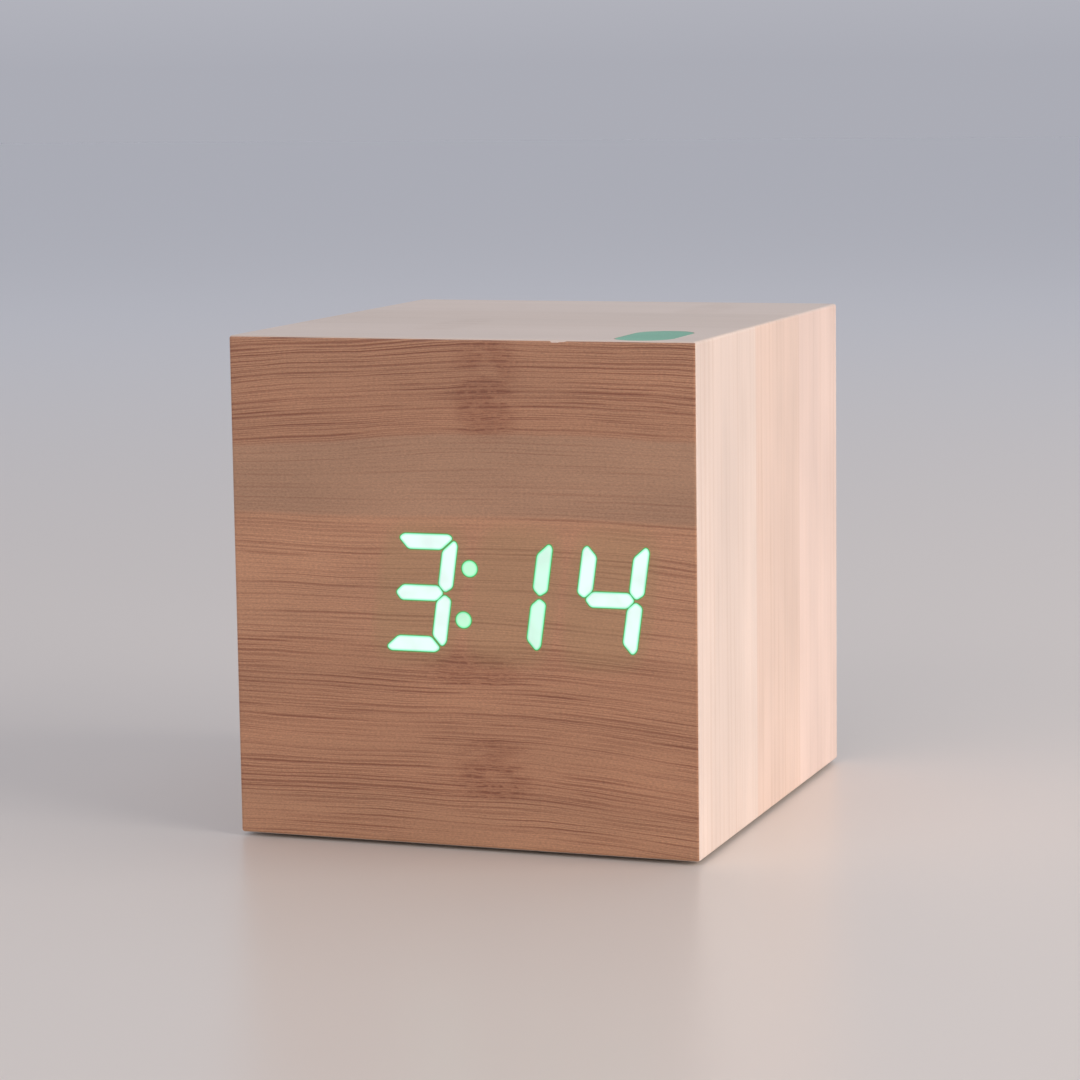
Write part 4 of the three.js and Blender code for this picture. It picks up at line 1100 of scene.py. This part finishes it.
def makeCells():
    # AAA cells: rolled edges, a printed sleeve, and bare steel at both ends
    for row in (1, 2, 3):
        name = f"battery_cell_{row}"
        low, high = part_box(name)
        middle = (low + high) / 2
        side = 1 if high.x > -low.x else -1  # the positive end looks this way
        radius, end = (high.z - low.z) / 2, high.x - low.x
        roll, button, shoulder = cellShape["roll"], cellShape["buttonRadius"], end - cellShape["button"]
        profile = [(0, 0)] + arcPoints((cellShape["base"], roll), roll, -90, 0, 3)
        sleeveLow = cellShape["lipAt"]
        profile.append((radius - cellShape["lipIn"], sleeveLow))
        turn = cellShape["lipRound"]
        profile += arcPoints((radius - turn, cellShape["lipTop"]), turn, -90, 0)
        turn = cellShape["shoulderRound"]
        profile += arcPoints((radius - turn, shoulder - cellShape["shoulderDrop"]), turn, 0, 80)
        sleeveHigh, washer = profile[-1][1], shoulder - cellShape["washerDrop"]
        profile += [(radius - cellShape["washerIn"], washer), (button, washer)]
        profile += arcPoints((button - roll, end - roll), roll, 0, 90) + [(0, end)]
        bm = spunMesh(profile, (0, 0), 72)
        along = bm.verts.layers.float.new("cellAlong")
        for vert in bm.verts:
            vert[along] = vert.co.y
        for face in bm.faces:
            centre = face.calc_center_median()
            outside = math.hypot(centre.x, centre.z) > cellShape["sleeveFrom"]
            face.material_index = 0 if outside and sleeveLow < centre.y < sleeveHigh else 1
        lieDown = Matrix.Rotation(math.radians(-90 * side), 4, "Z")
        bmesh.ops.rotate(bm, verts=bm.verts, cent=(0, 0, 0), matrix=lieDown)
        bmesh.ops.translate(bm, verts=bm.verts, vec=(low.x if side > 0 else high.x, middle.y, middle.z))
        across, out = (bm.verts.layers.float.new(n) for n in ("cellAcross", "cellOut"))
        for vert in bm.verts:
            vert[across] = vert.co.z - middle.z
            vert[out] = vert.co.y - middle.y
        finishNode(bm, name, "jacket steel", smoothAngle=45)


contacts = {
    "thickness": 0.4 * mm, "reach": 4.4 * mm, "front": 4.6 * mm, "rear": 4.2 * mm, "tabHalf": 1 * mm,
    "bevel": 0.09 * mm, "wire": 0.29 * mm, "base": 3.6 * mm, "tip": 2.4 * mm, "turns": 3.5, "sunk": 0.1 * mm,
    "steps": 144,
    # the side of the bay, the cells that the plate spans, the cells it has a spring for
    "plan": {
        "negative_terminal": (-1, (1, 1), [1], True), "bridge_contact_right": (1, (1, 2), [2], False),
        "bridge_contact_left": (-1, (2, 3), [3], False), "positive_terminal": (1, (3, 3), [], True),
    },
}


def springMesh(side, start, end, centre):
    # a cone spring, as a tube along a helix that narrows
    curve = bpy.data.curves.new("spring", "CURVE")
    curve.dimensions = "3D"
    curve.bevel_depth = contacts["wire"]
    curve.bevel_resolution = 4
    curve.use_fill_caps = True
    steps = contacts["steps"]
    spline = curve.splines.new("POLY")
    spline.points.add(steps)
    for i, point in enumerate(spline.points):
        t = i / steps
        radius = contacts["base"] + (contacts["tip"] - contacts["base"]) * t
        angle = math.tau * contacts["turns"] * t
        x = side * (start + (end - start) * t)
        point.co = (x, centre.y + radius * math.cos(angle), centre.z + radius * math.sin(angle), 1)
    holder = bpy.data.objects.new("spring", curve)
    scene.collection.objects.link(holder)
    bpy.context.view_layer.update()
    mesh = bpy.data.meshes.new_from_object(holder.evaluated_get(bpy.context.evaluated_depsgraph_get()))
    bpy.data.objects.remove(holder)
    return mesh


def makeContacts():
    cells = {row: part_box(f"battery_cell_{row}") for row in (1, 2, 3)}
    middle = {row: (low + high) / 2 for row, (low, high) in cells.items()}
    for name, (side, (first, last), springs, hasTab) in contacts["plan"].items():
        low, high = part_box(name)
        outer = high.x if side > 0 else -low.x
        face = outer - contacts["thickness"]
        tip = -high.x if side < 0 else low.x
        cellY = middle[first].y
        xs = sorted((side * face, side * outer))
        bm = boxMesh((xs[0], cellY - contacts["front"], middle[first].z - contacts["reach"]),
                     (xs[1], cellY + contacts["rear"], middle[last].z + contacts["reach"]))
        if hasTab:
            half = contacts["tabHalf"]
            joined = boxMesh((xs[0], low.y, middle[first].z - half),
                             (xs[1], cellY - contacts["front"], middle[first].z + half))
            part = bpy.data.meshes.new("tab")
            joined.to_mesh(part)
            joined.free()
            bm.from_mesh(part)
        bevelEdges(bm, sharpEdges(bm), contacts["bevel"], 2)
        for row in springs:
            bm.from_mesh(springMesh(side, face + contacts["sunk"], tip + contacts["wire"], middle[row]))
        bmesh.ops.remove_doubles(bm, verts=bm.verts, dist=0.001 * mm)
        finishNode(bm, name, "steel", smoothAngle=50)


makeKeys()
makeKnob()
makeSocket()
makeFeet()
makePrint()
makeCover()
makeScrews()
print("rear pieces made")
makeCells()
makeContacts()
print("cells and contacts made")

nodeLooks = {
    "black": ["buzzer", "backup_cell_holder", "set_switch_body", "up_switch_body", "down_switch_body"],
    "white": ["set_switch_plunger", "up_switch_plunger", "down_switch_plunger"],
    "steel": ["backup_cell"],
    "zinc": ["slide_switch_body", "microphone"],
    "displayBoard": ["display_board"],
    "mainBoard": ["main_board"],
    "mask": ["segment_mask"],
    "film": ["diffuser_film"],
    "ribbon": ["ribbon_cable"],
    "redWire": ["battery_lead_red"],
    "blackWire": ["battery_lead_black"],
    "fibre": [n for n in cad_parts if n.endswith("_panel")],
    "pine": ["corner_block_left", "corner_block_right", "cleat_left", "cleat_right"],
}
for look, names in nodeLooks.items():
    for name in names:
        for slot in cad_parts[name].material_slots:
            slot.material = materials[look]
